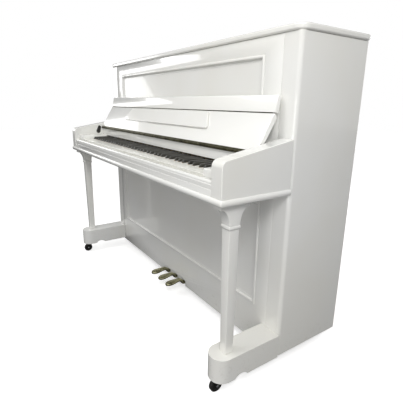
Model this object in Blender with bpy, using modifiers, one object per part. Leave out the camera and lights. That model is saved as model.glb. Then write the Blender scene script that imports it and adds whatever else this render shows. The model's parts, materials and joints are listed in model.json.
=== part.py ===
"""Upright piano with an open fallboard, as an assembly of its real pieces.

Metres, +Z up. The origin is on the floor under the middle of the piano. +X points to the
treble side and -Y to the player. Every moving piece has its origin on the axis it moves about.
"""

import math

import bmesh
import bpy
from mathutils import Matrix, Vector

# ---- fits ----------------------------------------------------------------------------------
GAP = 0.0003            # between pieces that touch
SLIDE = 0.003           # beside a piece that swings between two others
LIFT_PLAY = 0.001       # between a pedal and its rod
OVERLAP = 0.001         # of shapes that are joined into one piece

# ---- keyboard ------------------------------------------------------------------------------
WHITE_PITCH = 0.0235
WHITE_KEYS = 52
KEY_GAP = 0.0010
KEY_TOP = 0.072         # key surface above the keybed's underside
KEY_THICK = 0.018
HEAD_LENGTH = 0.050     # of a white key's wide front part
PLAYED_LENGTH = 0.143   # from a white key's front to the nameboard
SHARP_WIDTH = 0.0100
SHARP_HEIGHT = 0.0118
SHARP_SETBACK = 0.0010  # of a sharp's cap behind the end of the white heads
SHARP_SLOPE = 0.0060
SHARP_SINK = 0.004
SLOT_ARC = 0.008        # how far the outer slots of joined keys run past the middle ones
SHARP_SHIFT = {1: -0.0030, 3: 0.0030, 6: -0.0040, 8: 0.0, 10: 0.0040}  # by semitone above C
BALANCE_SHARE = 0.58    # of a key's length in front of the balance rail
LOWEST_KEY, MIDDLE_C, HIGHEST_KEY = 21, 60, 108
OCTAVE_NAMES = ("c4", "c4_sharp", "d4", "d4_sharp", "e4", "f4",
                "f4_sharp", "g4", "g4_sharp", "a4", "a4_sharp", "b4")
BLACK_SEMITONES = tuple(SHARP_SHIFT)

# ---- case ----------------------------------------------------------------------------------
KEYBED_Z = 0.655        # height of the keybed's underside
UPPER_HEIGHT = 0.482    # from there to the top of the sides
CASE_DEPTH = 0.323      # of the sides
ARM_REACH = 0.271       # of the arms in front of the sides
ARM_WIDTH = 0.051
KEY_BLOCK_WIDTH = 0.077
SIDE_THICK = 0.030
STILE_WIDTH = 0.068     # of a side's thickened front edge
STILE_DEPTH = 0.030
CORNER_RADIUS = 0.014
SIDE_CLEARANCE = 0.056  # of the case and the toes above the floor
PANEL_THICK = 0.020
RECESS_DEPTH = 0.006
UPPER_STILE = 0.077     # frame of the upper panel beside its recess
UPPER_RAIL = 0.052
UPPER_FOOT = 0.060
UPPER_PANEL_Z = 0.145   # above the keybed's underside
LOWER_STILE = 0.062
LOWER_RAIL = 0.155
LOWER_HEAD = 0.050
LOWER_PANEL_Z = 0.046
LID_THICK = 0.020
LID_OVERHANG = 0.007
LID_RADIUS = 0.035
LID_EDGE = 0.007

# ---- keybed, slip, nameboard, arms ---------------------------------------------------------
KEYBED_THICK = 0.040
KEYBED_SETBACK = 0.001
SLIP_HEIGHT = 0.025
SLIP_THICK = 0.020
SLIP_SETBACK = 0.002
MOULDING_PROUD = 0.006
MOULDING_HEIGHT = 0.020
MOULDING_EDGE = 0.0045
ARM_BACK_HEIGHT = 0.175
ARM_FRONT_HEIGHT = 0.130
ARM_CORNER = 0.022
ARM_EDGE = 0.0015
SLIP_EDGE = 0.002
BLOCK_EDGE = 0.002
NAMEBOARD_THICK = 0.016
NAMEBOARD_Z = 0.087     # its lower edge above the keybed's underside
NAMEBOARD_HEIGHT = 0.038
SHELF_THICK = 0.010     # of the nameboard's shelf, which runs back to the case
SHELF_RISE = 0.030      # of the shelf's rear edge above the nameboard
BLOCK_HEIGHT = 0.050

# ---- fallboard -----------------------------------------------------------------------------
FALL_HINGE_Z = 0.132    # above the keybed's underside
FALL_HINGE_SETBACK = 0.005  # of the hinge line in front of the nameboard's face
LIP_STAND = 0.033       # of the joint between fall and lip in front of the upper panel
FALL_LENGTH = 0.142
FALL_THICK = 0.018
FALL_FOOT = 0.008       # from the hinge line to the fall's lower edge
LIP_LEAN = math.radians(78.0)
LIP_LENGTH = 0.055
LIP_THICK = 0.014
DESK_FOOT_HALF = 0.388  # half the music desk's width at its lower edge
DESK_TOP_HALF = 0.350
DESK_START = 0.063      # from the fall's hinge line
DESK_LENGTH = 0.066
DESK_THICK = 0.009
DESK_CORNER = 0.009
DESK_EDGE = 0.002
KNUCKLE_RADIUS = 0.003
HINGE_LEAF = 0.0016

# ---- legs, toes, casters -------------------------------------------------------------------
LEG_INSET = 0.037       # of a leg's middle from the case's outer face
LEG_REACH = 0.205       # of a leg's middle in front of the sides
LEG_FOOT_HALF = 0.0155
LEG_TOP_HALF = 0.0185
COLLAR_HALF = 0.0220
COLLAR_HEIGHT = 0.013
CAPITAL_HALF = 0.055
CAPITAL_NECK_HALF = 0.0205
CAPITAL_HEIGHT = 0.068
CAPITAL_FILLET = 0.014
TOE_WIDTH = 0.090
TOE_OVERHANG = 0.004    # of a toe beside the case's outer face
TOE_HEIGHT = 0.0885
TOE_REACH = 0.265
NOTCH_HALF = 0.026
NOTCH_DEPTH = 0.013
NOTCH_REACH = 0.168
CASTER_REACH = 0.228
CASTER_INSET = 0.044
CASTER_REAR_IN = 0.040  # of a rear caster's swivel from the back
WHEEL_RADIUS = 0.0240
WHEEL_WIDTH = 0.016
WHEEL_ROUND = 0.004
AXLE_RADIUS = 0.0030
AXLE_PLAY = 0.0004
TRAIL = 0.012           # of a wheel's axle from its swivel, outwards from the piano's middle
CHEEK_THICK = 0.0025
CHEEK_PLAY = 0.0008
CASTER_PLATE = 0.003
CASTER_PLATE_RADIUS = 0.021

# ---- pedals --------------------------------------------------------------------------------
PEDAL_SPACING = 0.075
PEDAL_SHIFT = 0.019     # of the middle pedal to the treble side
PEDAL_OUT = 0.101       # in front of the lower panel
PEDAL_PIVOT_IN = 0.080  # behind the lower panel's face
PEDAL_Z = 0.061
PEDAL_THICK = 0.015
SHANK_WIDTH = 0.026
TIP_WIDTH = 0.041
TIP_STRETCH = 1.35      # length of the tip's oval as a share of its width
SHANK_SHARE = 3.2       # from the tip to the straight shank, in half widths of the tip
NECK_TURN = math.radians(68)   # how steeply a pedal climbs in front of the panel
NECK_RADIUS = 0.011
CROWN_RADIUS = 0.020
TIP_FALL = math.radians(5)
NECK_STEPS = 5
CROWN_STEPS = 8
PEDAL_NOTCH = 0.034
PEDAL_NOTCH_Z = 0.027
PIN_RADIUS = 0.003
CHEEK_BLOCK = 0.010
CHEEK_DEPTH = 0.030
CHEEK_BELOW = 0.0075    # of the cheeks below the pivot
CHEEK_SIDE = 0.001      # play beside a pedal
BOARD_Z = 0.088
BOARD_THICK = 0.022
ROD_RADIUS = 0.005
ROD_HOLE = 0.008

# ---- back and action, from the back forwards -----------------------------------------------
POST_DEPTH = 0.065
POST_WIDTH = 0.070
POSTS = 5
FRAME_RAIL = 0.090
SOUNDBOARD_THICK = 0.009
RIB_DEPTH = 0.010
RIB_WIDTH = 0.024
RIBS = 8
RIB_TURN = math.radians(38)
RIB_SPREAD = 0.86       # share of the soundboard's width that the ribs' middles span
PLATE_SPACE = 0.030     # from the soundboard to the plate
PLATE_THICK = 0.014
PLATE_BAYS = 6
PLATE_STRUT = 0.085
PLATE_DOWN = 0.012      # of the plate and the pin block below the lid
BAY_LOW_SHARE = 0.167   # height of a bay's ends as shares of the plate
BAY_HIGH_SHARE = 0.733
STRING_SPACE = 0.012    # from the plate to the strings
ROD_FROM_STRINGS = 0.018
HAMMER_FROM_STRINGS = 0.070
HAMMER_DEPTH = 0.022
HAMMER_Z = 0.205        # butts above the keybed's underside
HAMMER_LENGTH = 0.125
HAMMER_WIDTH = 0.0090
BUTT_HEIGHT = 0.020
RAIL_CROWN = 0.006
REST_FROM_STRINGS = 0.104
REST_SIZE = 0.014
REST_Z = 0.268
DAMPER_FROM_STRINGS = 0.012
DAMPER_DEPTH = 0.010
DAMPER_Z = 0.225
DAMPER_LENGTH = 0.050
MUFFLER_FROM_STRINGS = 0.036
MUFFLER_THICK = 0.006
MUFFLER_HEIGHT = 0.030
MUFFLER_Z = 0.348
BRACKET_FROM_STRINGS = 0.108
BRACKET_DEPTH = 0.080
BRACKET_THICK = 0.012
BRACKET_HEIGHT = 0.300
RAIL_Z = 0.150
RAIL_HEIGHT = 0.036
RAIL_DEPTH = 0.018
KEY_FRAME_BAR = 0.030
KEY_FRAME_SHARE = 0.3   # thickness of the cross bars as a share of the room under the keys
BALANCE_HALF = 0.004
RAIL_PROUD = 0.0002     # of the front rail above the cross bars
REST_EDGE = 0.003

# ---- places worked out from the sizes above ------------------------------------------------
KEYS_HALF = WHITE_KEYS * WHITE_PITCH / 2
ARM_INNER = KEYS_HALF + GAP + KEY_BLOCK_WIDTH + GAP
HALF_WIDTH = ARM_INNER + ARM_WIDTH
SIDE_INNER = HALF_WIDTH - SIDE_THICK
STILE_INNER = HALF_WIDTH - STILE_WIDTH
TOTAL_DEPTH = ARM_REACH + MOULDING_PROUD + CASE_DEPTH
BACK_Y = TOTAL_DEPTH / 2
FRONT_Y = BACK_Y - CASE_DEPTH
ARM_FRONT_Y = FRONT_Y - ARM_REACH
PANEL_BACK_Y = FRONT_Y + PANEL_THICK
CASE_TOP = KEYBED_Z + UPPER_HEIGHT
POST_Y = BACK_Y - POST_DEPTH
SOUNDBOARD_Y = POST_Y - GAP - RIB_DEPTH - SOUNDBOARD_THICK
PLATE_Y = SOUNDBOARD_Y - PLATE_SPACE
STRING_Y = PLATE_Y - STRING_SPACE
ROD_Y = STRING_Y - ROD_FROM_STRINGS
KEYBED_TOP_Z = KEYBED_Z + KEYBED_THICK
KEYBED_BACK_Y = ROD_Y - ROD_HOLE - SLIDE
SLIP_Y = ARM_FRONT_Y + SLIP_SETBACK
KEY_FRONT_Y = SLIP_Y + SLIP_THICK + SLIDE + KEY_GAP
KEY_REAR_Y = KEYBED_BACK_Y - 2 * SLIDE - BRACKET_THICK
KEY_TOP_Z = KEYBED_Z + KEY_TOP
KEY_LOW_Z = KEY_TOP_Z - KEY_THICK
BALANCE_Y = KEY_FRONT_Y + BALANCE_SHARE * (KEY_REAR_Y - KEY_FRONT_Y)
NAMEBOARD_Y = KEY_FRONT_Y + PLAYED_LENGTH
HINGE_Y = NAMEBOARD_Y - FALL_HINGE_SETBACK
HINGE_Z = KEYBED_Z + FALL_HINGE_Z
FALL_LEAN = math.acos((FRONT_Y - LIP_STAND - HINGE_Y) / FALL_LENGTH)
TOE_TOP_Z = SIDE_CLEARANCE + TOE_HEIGHT
LEG_X = HALF_WIDTH - LEG_INSET
LEG_Y = FRONT_Y - LEG_REACH
PIVOT_Y = FRONT_Y + PEDAL_PIVOT_IN
PEDAL_TOP_Z = PEDAL_Z + PEDAL_THICK / 2
RAIL_FRONT_Y = STRING_Y - HAMMER_FROM_STRINGS + HAMMER_DEPTH + SLIDE

# ---- finishes: colour, roughness, metallic -------------------------------------------------
LACQUER = ((0.83, 0.82, 0.80), 0.12, 0.0)
KEY_WHITE = ((0.86, 0.85, 0.81), 0.20, 0.0)
KEY_BLACK = ((0.045, 0.042, 0.036), 0.35, 0.0)
BRASS = ((0.42, 0.34, 0.17), 0.35, 1.0)
BLACK_METAL = ((0.02, 0.02, 0.02), 0.45, 0.6)
BLACK_TYRE = ((0.015, 0.015, 0.015), 0.60, 0.0)
BARE_WOOD = ((0.52, 0.36, 0.20), 0.55, 0.0)
SPRUCE = ((0.66, 0.49, 0.28), 0.45, 0.0)
GOLD_IRON = ((0.55, 0.42, 0.18), 0.40, 0.7)
FELT = ((0.72, 0.70, 0.64), 0.95, 0.0)

PARTS = bpy.data.collections.new("upright_piano")
CUTTERS = bpy.data.collections.new("cutters")


# ---- making shapes -------------------------------------------------------------------------
def clear_scene():
    """Remove what the scene holds, and link the two collections."""
    for old in list(bpy.data.objects):
        bpy.data.objects.remove(old, do_unlink=True)
    for collection in (PARTS, CUTTERS):
        bpy.context.scene.collection.children.link(collection)
    CUTTERS.hide_render = True


def finish_of(name, look):
    """A material of a piece's own."""
    colour, roughness, metallic = look
    material = bpy.data.materials.new(name)
    material.use_nodes = True
    shader = material.node_tree.nodes["Principled BSDF"]
    shader.inputs["Base Color"].default_value = (*colour, 1.0)
    shader.inputs["Roughness"].default_value = roughness
    shader.inputs["Metallic"].default_value = metallic
    return material


def add_part(name, mesh, look, pivot=(0, 0, 0), parent=None):
    """Put a mesh given in world coordinates into the piano, with its origin at pivot."""
    mesh.name = name
    mesh.transform(Matrix.Translation(-Vector(pivot)))
    mesh.materials.clear()
    mesh.materials.append(finish_of(name, look))
    mesh.shade_smooth()
    mesh.set_sharp_from_angle(angle=math.radians(30))
    obj = bpy.data.objects.new(name, mesh)
    PARTS.objects.link(obj)
    obj.location = pivot
    if parent:
        obj.parent = parent
        obj.location = Vector(pivot) - parent.location
    return obj


def add_helper(name, mesh):
    """A shape that only cuts or joins, in world coordinates."""
    obj = bpy.data.objects.new(name, mesh)
    CUTTERS.objects.link(obj)
    obj.hide_render = True
    obj.display_type = "WIRE"
    return obj


def combine(obj, mesh, operation):
    """Cut a piece by a mesh, join the two, or keep what they share."""
    helper = add_helper(f"{obj.name}_{operation.lower()}_{len(obj.modifiers)}", mesh)
    boolean = obj.modifiers.new(helper.name, "BOOLEAN")
    boolean.operation = operation
    boolean.object = helper


def round_edges(obj, width, segments=2):
    """Round the piece's sharp edges."""
    bevel = obj.modifiers.new("rounded_edges", "BEVEL")
    bevel.width = width
    bevel.segments = segments
    bevel.limit_method = "ANGLE"
    bevel.angle_limit = math.radians(40)


def boxes(*corners):
    """One mesh of boxes, each given by its low and high corners."""
    bm = bmesh.new()
    for low, high in corners:
        low, high = Vector(low), Vector(high)
        place = Matrix.Translation((low + high) / 2) @ Matrix.Diagonal((*(high - low), 1))
        bmesh.ops.create_cube(bm, size=1, matrix=place)
    return mesh_of(bm)


def mesh_of(bm):
    """The finished mesh of a bmesh."""
    mesh = bpy.data.meshes.new("shape")
    bm.to_mesh(mesh)
    bm.free()
    return mesh


def rods(*ends, radius, sides=16):
    """One mesh of round bars, each given by its two ends."""
    bm = bmesh.new()
    for start, end in ends:
        start, end = Vector(start), Vector(end)
        turn = (end - start).to_track_quat("Z", "Y").to_matrix().to_4x4()
        bmesh.ops.create_cone(
            bm, cap_ends=True, segments=sides, radius1=radius, radius2=radius,
            depth=(end - start).length, matrix=Matrix.Translation((start + end) / 2) @ turn)
    return mesh_of(bm)


PLAN = Matrix.Identity(4)                                # outline X, Y, thickness along Z
SIDE_ON = Matrix(((0, 0, 1, 0), (1, 0, 0, 0), (0, 1, 0, 0), (0, 0, 0, 1)))   # outline Y, Z
FACE_ON = Matrix(((1, 0, 0, 0), (0, 0, -1, 0), (0, 1, 0, 0), (0, 0, 0, 1)))  # outline X, Z


def extrusion(outline, low, high, plane):
    """The mesh of a flat outline, made thick from low to high along the plane's normal."""
    curve = bpy.data.curves.new("outline", "CURVE")
    curve.dimensions = "2D"
    curve.fill_mode = "BOTH"
    curve.extrude = (high - low) / 2
    spline = curve.splines.new("POLY")
    spline.points.add(len(outline) - 1)
    for point, (u, v) in zip(spline.points, outline):
        point.co = (u, v, 0, 1)
    spline.use_cyclic_u = True
    middle = (low + high) / 2 if plane != FACE_ON else -(low + high) / 2
    guide = bpy.data.objects.new("outline", curve)
    guide.matrix_world = plane @ Matrix.Translation((0, 0, middle))
    bpy.context.scene.collection.objects.link(guide)
    graph = bpy.context.evaluated_depsgraph_get()
    mesh = bpy.data.meshes.new_from_object(guide.evaluated_get(graph))
    mesh.transform(guide.matrix_world)
    bpy.data.objects.remove(guide)
    bm = bmesh.new()
    bm.from_mesh(mesh)
    bmesh.ops.remove_doubles(bm, verts=bm.verts, dist=1e-6)
    bmesh.ops.recalc_face_normals(bm, faces=bm.faces)
    bm.to_mesh(mesh)
    bm.free()
    return mesh


def arc(u, v, radius, start, end, steps):
    """Points on an arc, with its angles in degrees."""
    angles = (math.radians(start + (end - start) * i / steps) for i in range(steps + 1))
    return [(u + radius * math.cos(a), v + radius * math.sin(a)) for a in angles]


def mirrored(outline, side):
    """The outline on the treble side as it is, or turned over to the bass side."""
    return [(side * u, v) for u, v in outline]


def ranged(side, near, far):
    """Low and high X of a span on one side of the piano."""
    return (near, far) if side > 0 else (-far, -near)


SIDES = (("left", -1), ("right", 1))


# ---- case ----------------------------------------------------------------------------------
def build_sides():
    """The two case ends, each with a thick front stile."""
    outline = [(STILE_INNER, FRONT_Y)]
    outline += arc(HALF_WIDTH - CORNER_RADIUS, FRONT_Y + CORNER_RADIUS, CORNER_RADIUS, -90, 0, 4)
    outline += [(HALF_WIDTH, BACK_Y), (SIDE_INNER, BACK_Y),
                (SIDE_INNER, FRONT_Y + STILE_DEPTH), (STILE_INNER, FRONT_Y + STILE_DEPTH)]
    for word, side in SIDES:
        add_part(f"side_{word}", extrusion(mirrored(outline, side), SIDE_CLEARANCE, CASE_TOP, PLAN),
                 LACQUER)


def build_lid():
    """The top lid, hinged along its rear edge, with round front corners."""
    x = HALF_WIDTH + LID_OVERHANG
    y = FRONT_Y - LID_OVERHANG
    outline = arc(-x + LID_RADIUS, y + LID_RADIUS, LID_RADIUS, 180, 270, 6)
    outline += arc(x - LID_RADIUS, y + LID_RADIUS, LID_RADIUS, 270, 360, 6)
    outline += [(x, BACK_Y), (-x, BACK_Y)]
    low = CASE_TOP + GAP
    lid = add_part("top_lid", extrusion(outline, low, low + LID_THICK, PLAN), LACQUER,
                   pivot=(0, BACK_Y, low))
    round_edges(lid, LID_EDGE, 3)


def framed_panel(name, z_low, z_high, stile, rail_low, rail_high):
    """A panel between the stiles of the sides, with a sunk field in its face."""
    x = STILE_INNER - GAP
    panel = add_part(name, boxes(((-x, FRONT_Y, z_low), (x, PANEL_BACK_Y, z_high))), LACQUER)
    field = ((-x + stile, FRONT_Y - RECESS_DEPTH, z_low + rail_low),
             (x - stile, FRONT_Y + RECESS_DEPTH, z_high - rail_high))
    combine(panel, boxes(field), "DIFFERENCE")
    return panel


def build_panels():
    """The upper panel, and the lower panel with notches that the pedals pass through."""
    framed_panel("upper_panel", KEYBED_Z + UPPER_PANEL_Z, CASE_TOP - GAP,
                 UPPER_STILE, UPPER_FOOT, UPPER_RAIL)
    lower = framed_panel("lower_panel", LOWER_PANEL_Z, KEYBED_Z - SLIDE,
                         LOWER_STILE, LOWER_RAIL, LOWER_HEAD)
    low, high = FRONT_Y - SLIDE, PANEL_BACK_Y + SLIDE
    notches = [((x - PEDAL_NOTCH / 2, low, 0), (x + PEDAL_NOTCH / 2, high,
                LOWER_PANEL_Z + PEDAL_NOTCH_Z)) for x in pedal_places().values()]
    combine(lower, boxes(*notches), "DIFFERENCE")


def build_bottom_board():
    """The board that carries the pedals, with two cheeks under it for each."""
    x = SIDE_INNER - GAP
    low, high = BOARD_Z, BOARD_Z + BOARD_THICK
    board = add_part("bottom_board", boxes(((-x, FRONT_Y + STILE_DEPTH + GAP, low),
                                            (x, POST_Y - GAP, high))), BARE_WOOD)
    cheeks, pins, holes = [], [], []
    for place in pedal_places().values():
        near = SHANK_WIDTH / 2 + CHEEK_SIDE
        for side in (-1, 1):
            first, last = ranged(side, near, near + CHEEK_BLOCK)
            cheeks.append(((place + first, PIVOT_Y - CHEEK_DEPTH / 2, PEDAL_Z - CHEEK_BELOW),
                           (place + last, PIVOT_Y + CHEEK_DEPTH / 2, low + OVERLAP)))
        reach = near + CHEEK_BLOCK + SLIDE
        pins.append(((place - reach, PIVOT_Y, PEDAL_Z), (place + reach, PIVOT_Y, PEDAL_Z)))
        holes.append(((place, ROD_Y, low - SLIDE), (place, ROD_Y, high + SLIDE)))
    combine(board, boxes(*cheeks), "UNION")
    combine(board, rods(*pins, radius=PIN_RADIUS + AXLE_PLAY, sides=12), "DIFFERENCE")
    combine(board, rods(*holes, radius=ROD_HOLE, sides=12), "DIFFERENCE")


# ---- keybed and what stands on it ----------------------------------------------------------
def build_keybed():
    """The board under the keys, narrower where it passes between the sides."""
    front, wide, narrow = ARM_FRONT_Y + KEYBED_SETBACK, ARM_INNER - GAP, STILE_INNER - GAP
    outline = [(-wide, front), (wide, front), (wide, FRONT_Y - GAP), (narrow, FRONT_Y - GAP),
               (narrow, KEYBED_BACK_Y), (-narrow, KEYBED_BACK_Y),
               (-narrow, FRONT_Y - GAP), (-wide, FRONT_Y - GAP)]
    add_part("keybed", extrusion(outline, KEYBED_Z, KEYBED_TOP_Z, PLAN), LACQUER)


def build_moulding():
    """The rounded moulding that wraps the front and both arms at keybed height."""
    x, y = HALF_WIDTH + GAP, ARM_FRONT_Y - GAP
    proud = MOULDING_PROUD - GAP
    back = FRONT_Y - GAP
    outline = [(-x - proud, back), (-x - proud, y - proud), (x + proud, y - proud),
               (x + proud, back), (x, back), (x, y), (-x, y), (-x, back)]
    mesh = extrusion(outline, KEYBED_Z, KEYBED_Z + MOULDING_HEIGHT, PLAN)
    outer = mesh.attributes.new("bevel_weight_edge", "FLOAT", "EDGE")
    for edge in mesh.edges:
        ends = [mesh.vertices[i].co for i in edge.vertices]
        outer.data[edge.index].value = all(
            abs(end.x) > x + proud / 2 or end.y < y - proud / 2 for end in ends)
    moulding = add_part("keybed_moulding", mesh, LACQUER)
    bevel = moulding.modifiers.new("rounded_front", "BEVEL")
    bevel.width = MOULDING_EDGE
    bevel.segments = 3
    bevel.limit_method = "WEIGHT"


def build_arms():
    """The two arms beside the keyboard, which slope down to round front corners."""
    front, back = ARM_FRONT_Y, FRONT_Y - GAP
    top_front = KEYBED_Z + ARM_FRONT_HEIGHT
    outline = [(front, KEYBED_Z)]
    outline += arc(front + ARM_CORNER, top_front - ARM_CORNER, ARM_CORNER, 180, 96, 5)
    outline += [(back, KEYBED_Z + ARM_BACK_HEIGHT), (back, KEYBED_Z)]
    for word, side in SIDES:
        low, high = ranged(side, ARM_INNER, HALF_WIDTH)
        arm = add_part(f"arm_{word}", extrusion(outline, low, high, SIDE_ON), LACQUER)
        round_edges(arm, ARM_EDGE, 1)


def build_key_surround():
    """The key slip and the key blocks at both ends, with the nameboard behind the keys."""
    x = ARM_INNER - GAP
    slip = add_part("key_slip", boxes(((-x, SLIP_Y, KEYBED_TOP_Z + GAP),
                    (x, SLIP_Y + SLIP_THICK, KEYBED_TOP_Z + SLIP_HEIGHT))), LACQUER)
    round_edges(slip, SLIP_EDGE)
    for word, side in SIDES:
        low, high = ranged(side, KEYS_HALF + GAP, x)
        block = add_part(f"key_block_{word}", boxes((
            (low, KEY_FRONT_Y, KEYBED_TOP_Z + GAP),
            (high, NAMEBOARD_Y - GAP, KEYBED_TOP_Z + BLOCK_HEIGHT))), LACQUER)
        round_edges(block, BLOCK_EDGE)
    build_nameboard(x)


def build_nameboard(x):
    """The nameboard, with a shelf behind it and an upstand that closes the gap to the panel."""
    low = KEYBED_Z + NAMEBOARD_Z
    high = low + NAMEBOARD_HEIGHT
    front, rear = NAMEBOARD_Y + NAMEBOARD_THICK, FRONT_Y - GAP
    board = add_part("nameboard", boxes(((-x, NAMEBOARD_Y, low), (x, front, high))), LACQUER)
    shelf = ((-x, front - OVERLAP, high - SHELF_THICK), (x, rear, high))
    upstand = ((-x, rear - SHELF_THICK, high - OVERLAP), (x, rear, high + SHELF_RISE))
    for piece in (shelf, upstand):
        combine(board, boxes(piece), "UNION")


def build_key_frame():
    """The frame under the keys: front, balance and back rails on two cross bars."""
    x = KEYS_HALF - KEY_GAP
    low = KEYBED_TOP_Z + GAP
    thin = (KEY_LOW_Z - low) * KEY_FRAME_SHARE
    bar = KEY_FRAME_BAR / 2
    front = KEY_FRONT_Y + 2 * bar
    back = KEY_REAR_Y - bar
    cross = [((at - bar, front, low), (at + bar, back, low + thin))
             for at in (-x + bar, 0, x - bar)]
    frame = add_part("key_frame", boxes(*cross[:1]), BARE_WOOD)
    rails = [((-x, front - bar, low), (x, front + bar, low + thin + RAIL_PROUD)),
             ((-x, BALANCE_Y - BALANCE_HALF, low), (x, BALANCE_Y + BALANCE_HALF, KEY_LOW_Z - GAP)),
             ((-x, back - bar, low), (x, back + bar, KEY_LOW_Z - GAP))]
    for rail in rails:
        combine(frame, boxes(rail), "UNION")
    combine(frame, boxes(*cross[1:]), "UNION")


# ---- keys ----------------------------------------------------------------------------------
def white_index(note):
    """How many white keys lie below this one."""
    whites = [n for n in range(LOWEST_KEY, note) if n % 12 not in BLACK_SEMITONES]
    return len(whites)


def key_span(note):
    """Low and high X of a key: of a white key's head, or of a sharp."""
    edge = -KEYS_HALF + white_index(note) * WHITE_PITCH
    if note % 12 not in BLACK_SEMITONES:
        return edge + KEY_GAP / 2, edge + WHITE_PITCH - KEY_GAP / 2
    middle = edge + SHARP_SHIFT[note % 12]
    return middle - SHARP_WIDTH / 2, middle + SHARP_WIDTH / 2


def tail_span(note):
    """Low and high X of a white key between the sharps beside it."""
    low, high = key_span(note)
    if note > LOWEST_KEY and (note - 1) % 12 in BLACK_SEMITONES:
        low = key_span(note - 1)[1] + KEY_GAP
    if note < HIGHEST_KEY and (note + 1) % 12 in BLACK_SEMITONES:
        high = key_span(note + 1)[0] - KEY_GAP
    return low, high


def slot_end(x):
    """The point where the slot beside a key ends: the slots of joined keys end on an arc."""
    return x, NAMEBOARD_Y + NAMEBOARD_THICK + SLOT_ARC * (x / KEYS_HALF) ** 2


def key_outline(notes):
    """Plan of neighbouring keys that share one piece of wood behind the nameboard."""
    shoulder = KEY_FRONT_Y + HEAD_LENGTH
    points = []
    for note in notes:
        low, high = key_span(note)
        if note % 12 in BLACK_SEMITONES:
            points += [slot_end(low), (low, shoulder + KEY_GAP), (high, shoulder + KEY_GAP),
                       slot_end(high)]
            continue
        tail_low, tail_high = tail_span(note)
        points.append(slot_end(tail_low))
        if tail_low > low:
            points += [(tail_low, shoulder), (low, shoulder)]
        points += [(low, KEY_FRONT_Y), (high, KEY_FRONT_Y)]
        if tail_high < high:
            points += [(high, shoulder), (tail_high, shoulder)]
        points.append(slot_end(tail_high))
    return points + [(points[-1][0], KEY_REAR_Y), (points[0][0], KEY_REAR_Y)]


def sharp_caps(notes):
    """The raised black caps of these notes, each with a sloping front."""
    bm = bmesh.new()
    front = KEY_FRONT_Y + HEAD_LENGTH + KEY_GAP + SHARP_SETBACK
    trim = KEY_GAP / 4
    for note in notes:
        low, high = key_span(note)
        corners = ((low + trim, front, KEY_TOP_Z - SHARP_SINK),
                   (high - trim, NAMEBOARD_Y - SLIDE, KEY_TOP_Z + SHARP_HEIGHT))
        start, end = Vector(corners[0]), Vector(corners[1])
        place = Matrix.Translation((start + end) / 2) @ Matrix.Diagonal((*(end - start), 1))
        made = bmesh.ops.create_cube(bm, size=1, matrix=place)["verts"]
        for vert in made:
            if vert.co.z > KEY_TOP_Z:
                vert.co.x += trim * 4 if vert.co.x < (low + high) / 2 else -trim * 4
                if vert.co.y < (front + NAMEBOARD_Y) / 2:
                    vert.co.y += SHARP_SLOPE
    bmesh.ops.triangulate(bm, faces=bm.faces)
    return mesh_of(bm)


def build_key(name, notes, look):
    """One key, or neighbouring keys as one piece, pivoting on the balance rail."""
    key = add_part(name, extrusion(key_outline(notes), KEY_LOW_Z, KEY_TOP_Z, PLAN), look,
                   pivot=(sum(key_span(notes[0]) + key_span(notes[-1])) / 4, BALANCE_Y, KEY_LOW_Z))
    sharps = [n for n in notes if n % 12 in BLACK_SEMITONES]
    if sharps:
        combine(key, sharp_caps(sharps), "UNION")


def build_keys():
    """The middle octave key by key, and the keys below and above it as two sets."""
    build_key("keys_bass", range(LOWEST_KEY, MIDDLE_C), KEY_WHITE)
    for step, name in enumerate(OCTAVE_NAMES):
        black = step in BLACK_SEMITONES
        build_key(f"key_{name}", [MIDDLE_C + step], KEY_BLACK if black else KEY_WHITE)
    build_key("keys_treble", range(MIDDLE_C + len(OCTAVE_NAMES), HIGHEST_KEY + 1), KEY_WHITE)


# ---- fallboard -----------------------------------------------------------------------------
def along(origin, angle, forward, proud):
    """The (Y, Z) point this far up a leaning board and this far out of its face."""
    y, z = origin
    return (y + forward * math.cos(angle) - proud * math.sin(angle),
            z + forward * math.sin(angle) + proud * math.cos(angle))


def build_fall():
    """The fallboard with its hinge, its folding lip and the music desk on its inner face."""
    x = ARM_INNER - SLIDE
    hinge = (HINGE_Y, HINGE_Z)
    board = [along(hinge, FALL_LEAN, s, p) for s, p in (
        (FALL_FOOT, 0), (FALL_FOOT, -FALL_THICK),
        (FALL_LENGTH - SLIDE - LIP_THICK / 2, -FALL_THICK), (FALL_LENGTH - SLIDE, -FALL_THICK / 2),
        (FALL_LENGTH - SLIDE, 0))]
    fall = add_part("fallboard", extrusion(board, -x, x, SIDE_ON), LACQUER, pivot=(0, *hinge))
    joint = along(hinge, FALL_LEAN, FALL_LENGTH, 0)
    nose = LIP_THICK / 2
    lip = [along(joint, LIP_LEAN, 0, 0), along(joint, LIP_LEAN, 0, -LIP_THICK)]
    for u, v in arc(LIP_LENGTH - nose, -nose, nose, -90, 90, 6):
        lip.append(along(joint, LIP_LEAN, u, v))
    add_part("fallboard_lip", extrusion(lip, -x, x, SIDE_ON), LACQUER, pivot=(0, *joint),
             parent=fall)
    build_desk(fall, hinge)
    build_fall_hinge(x)


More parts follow.
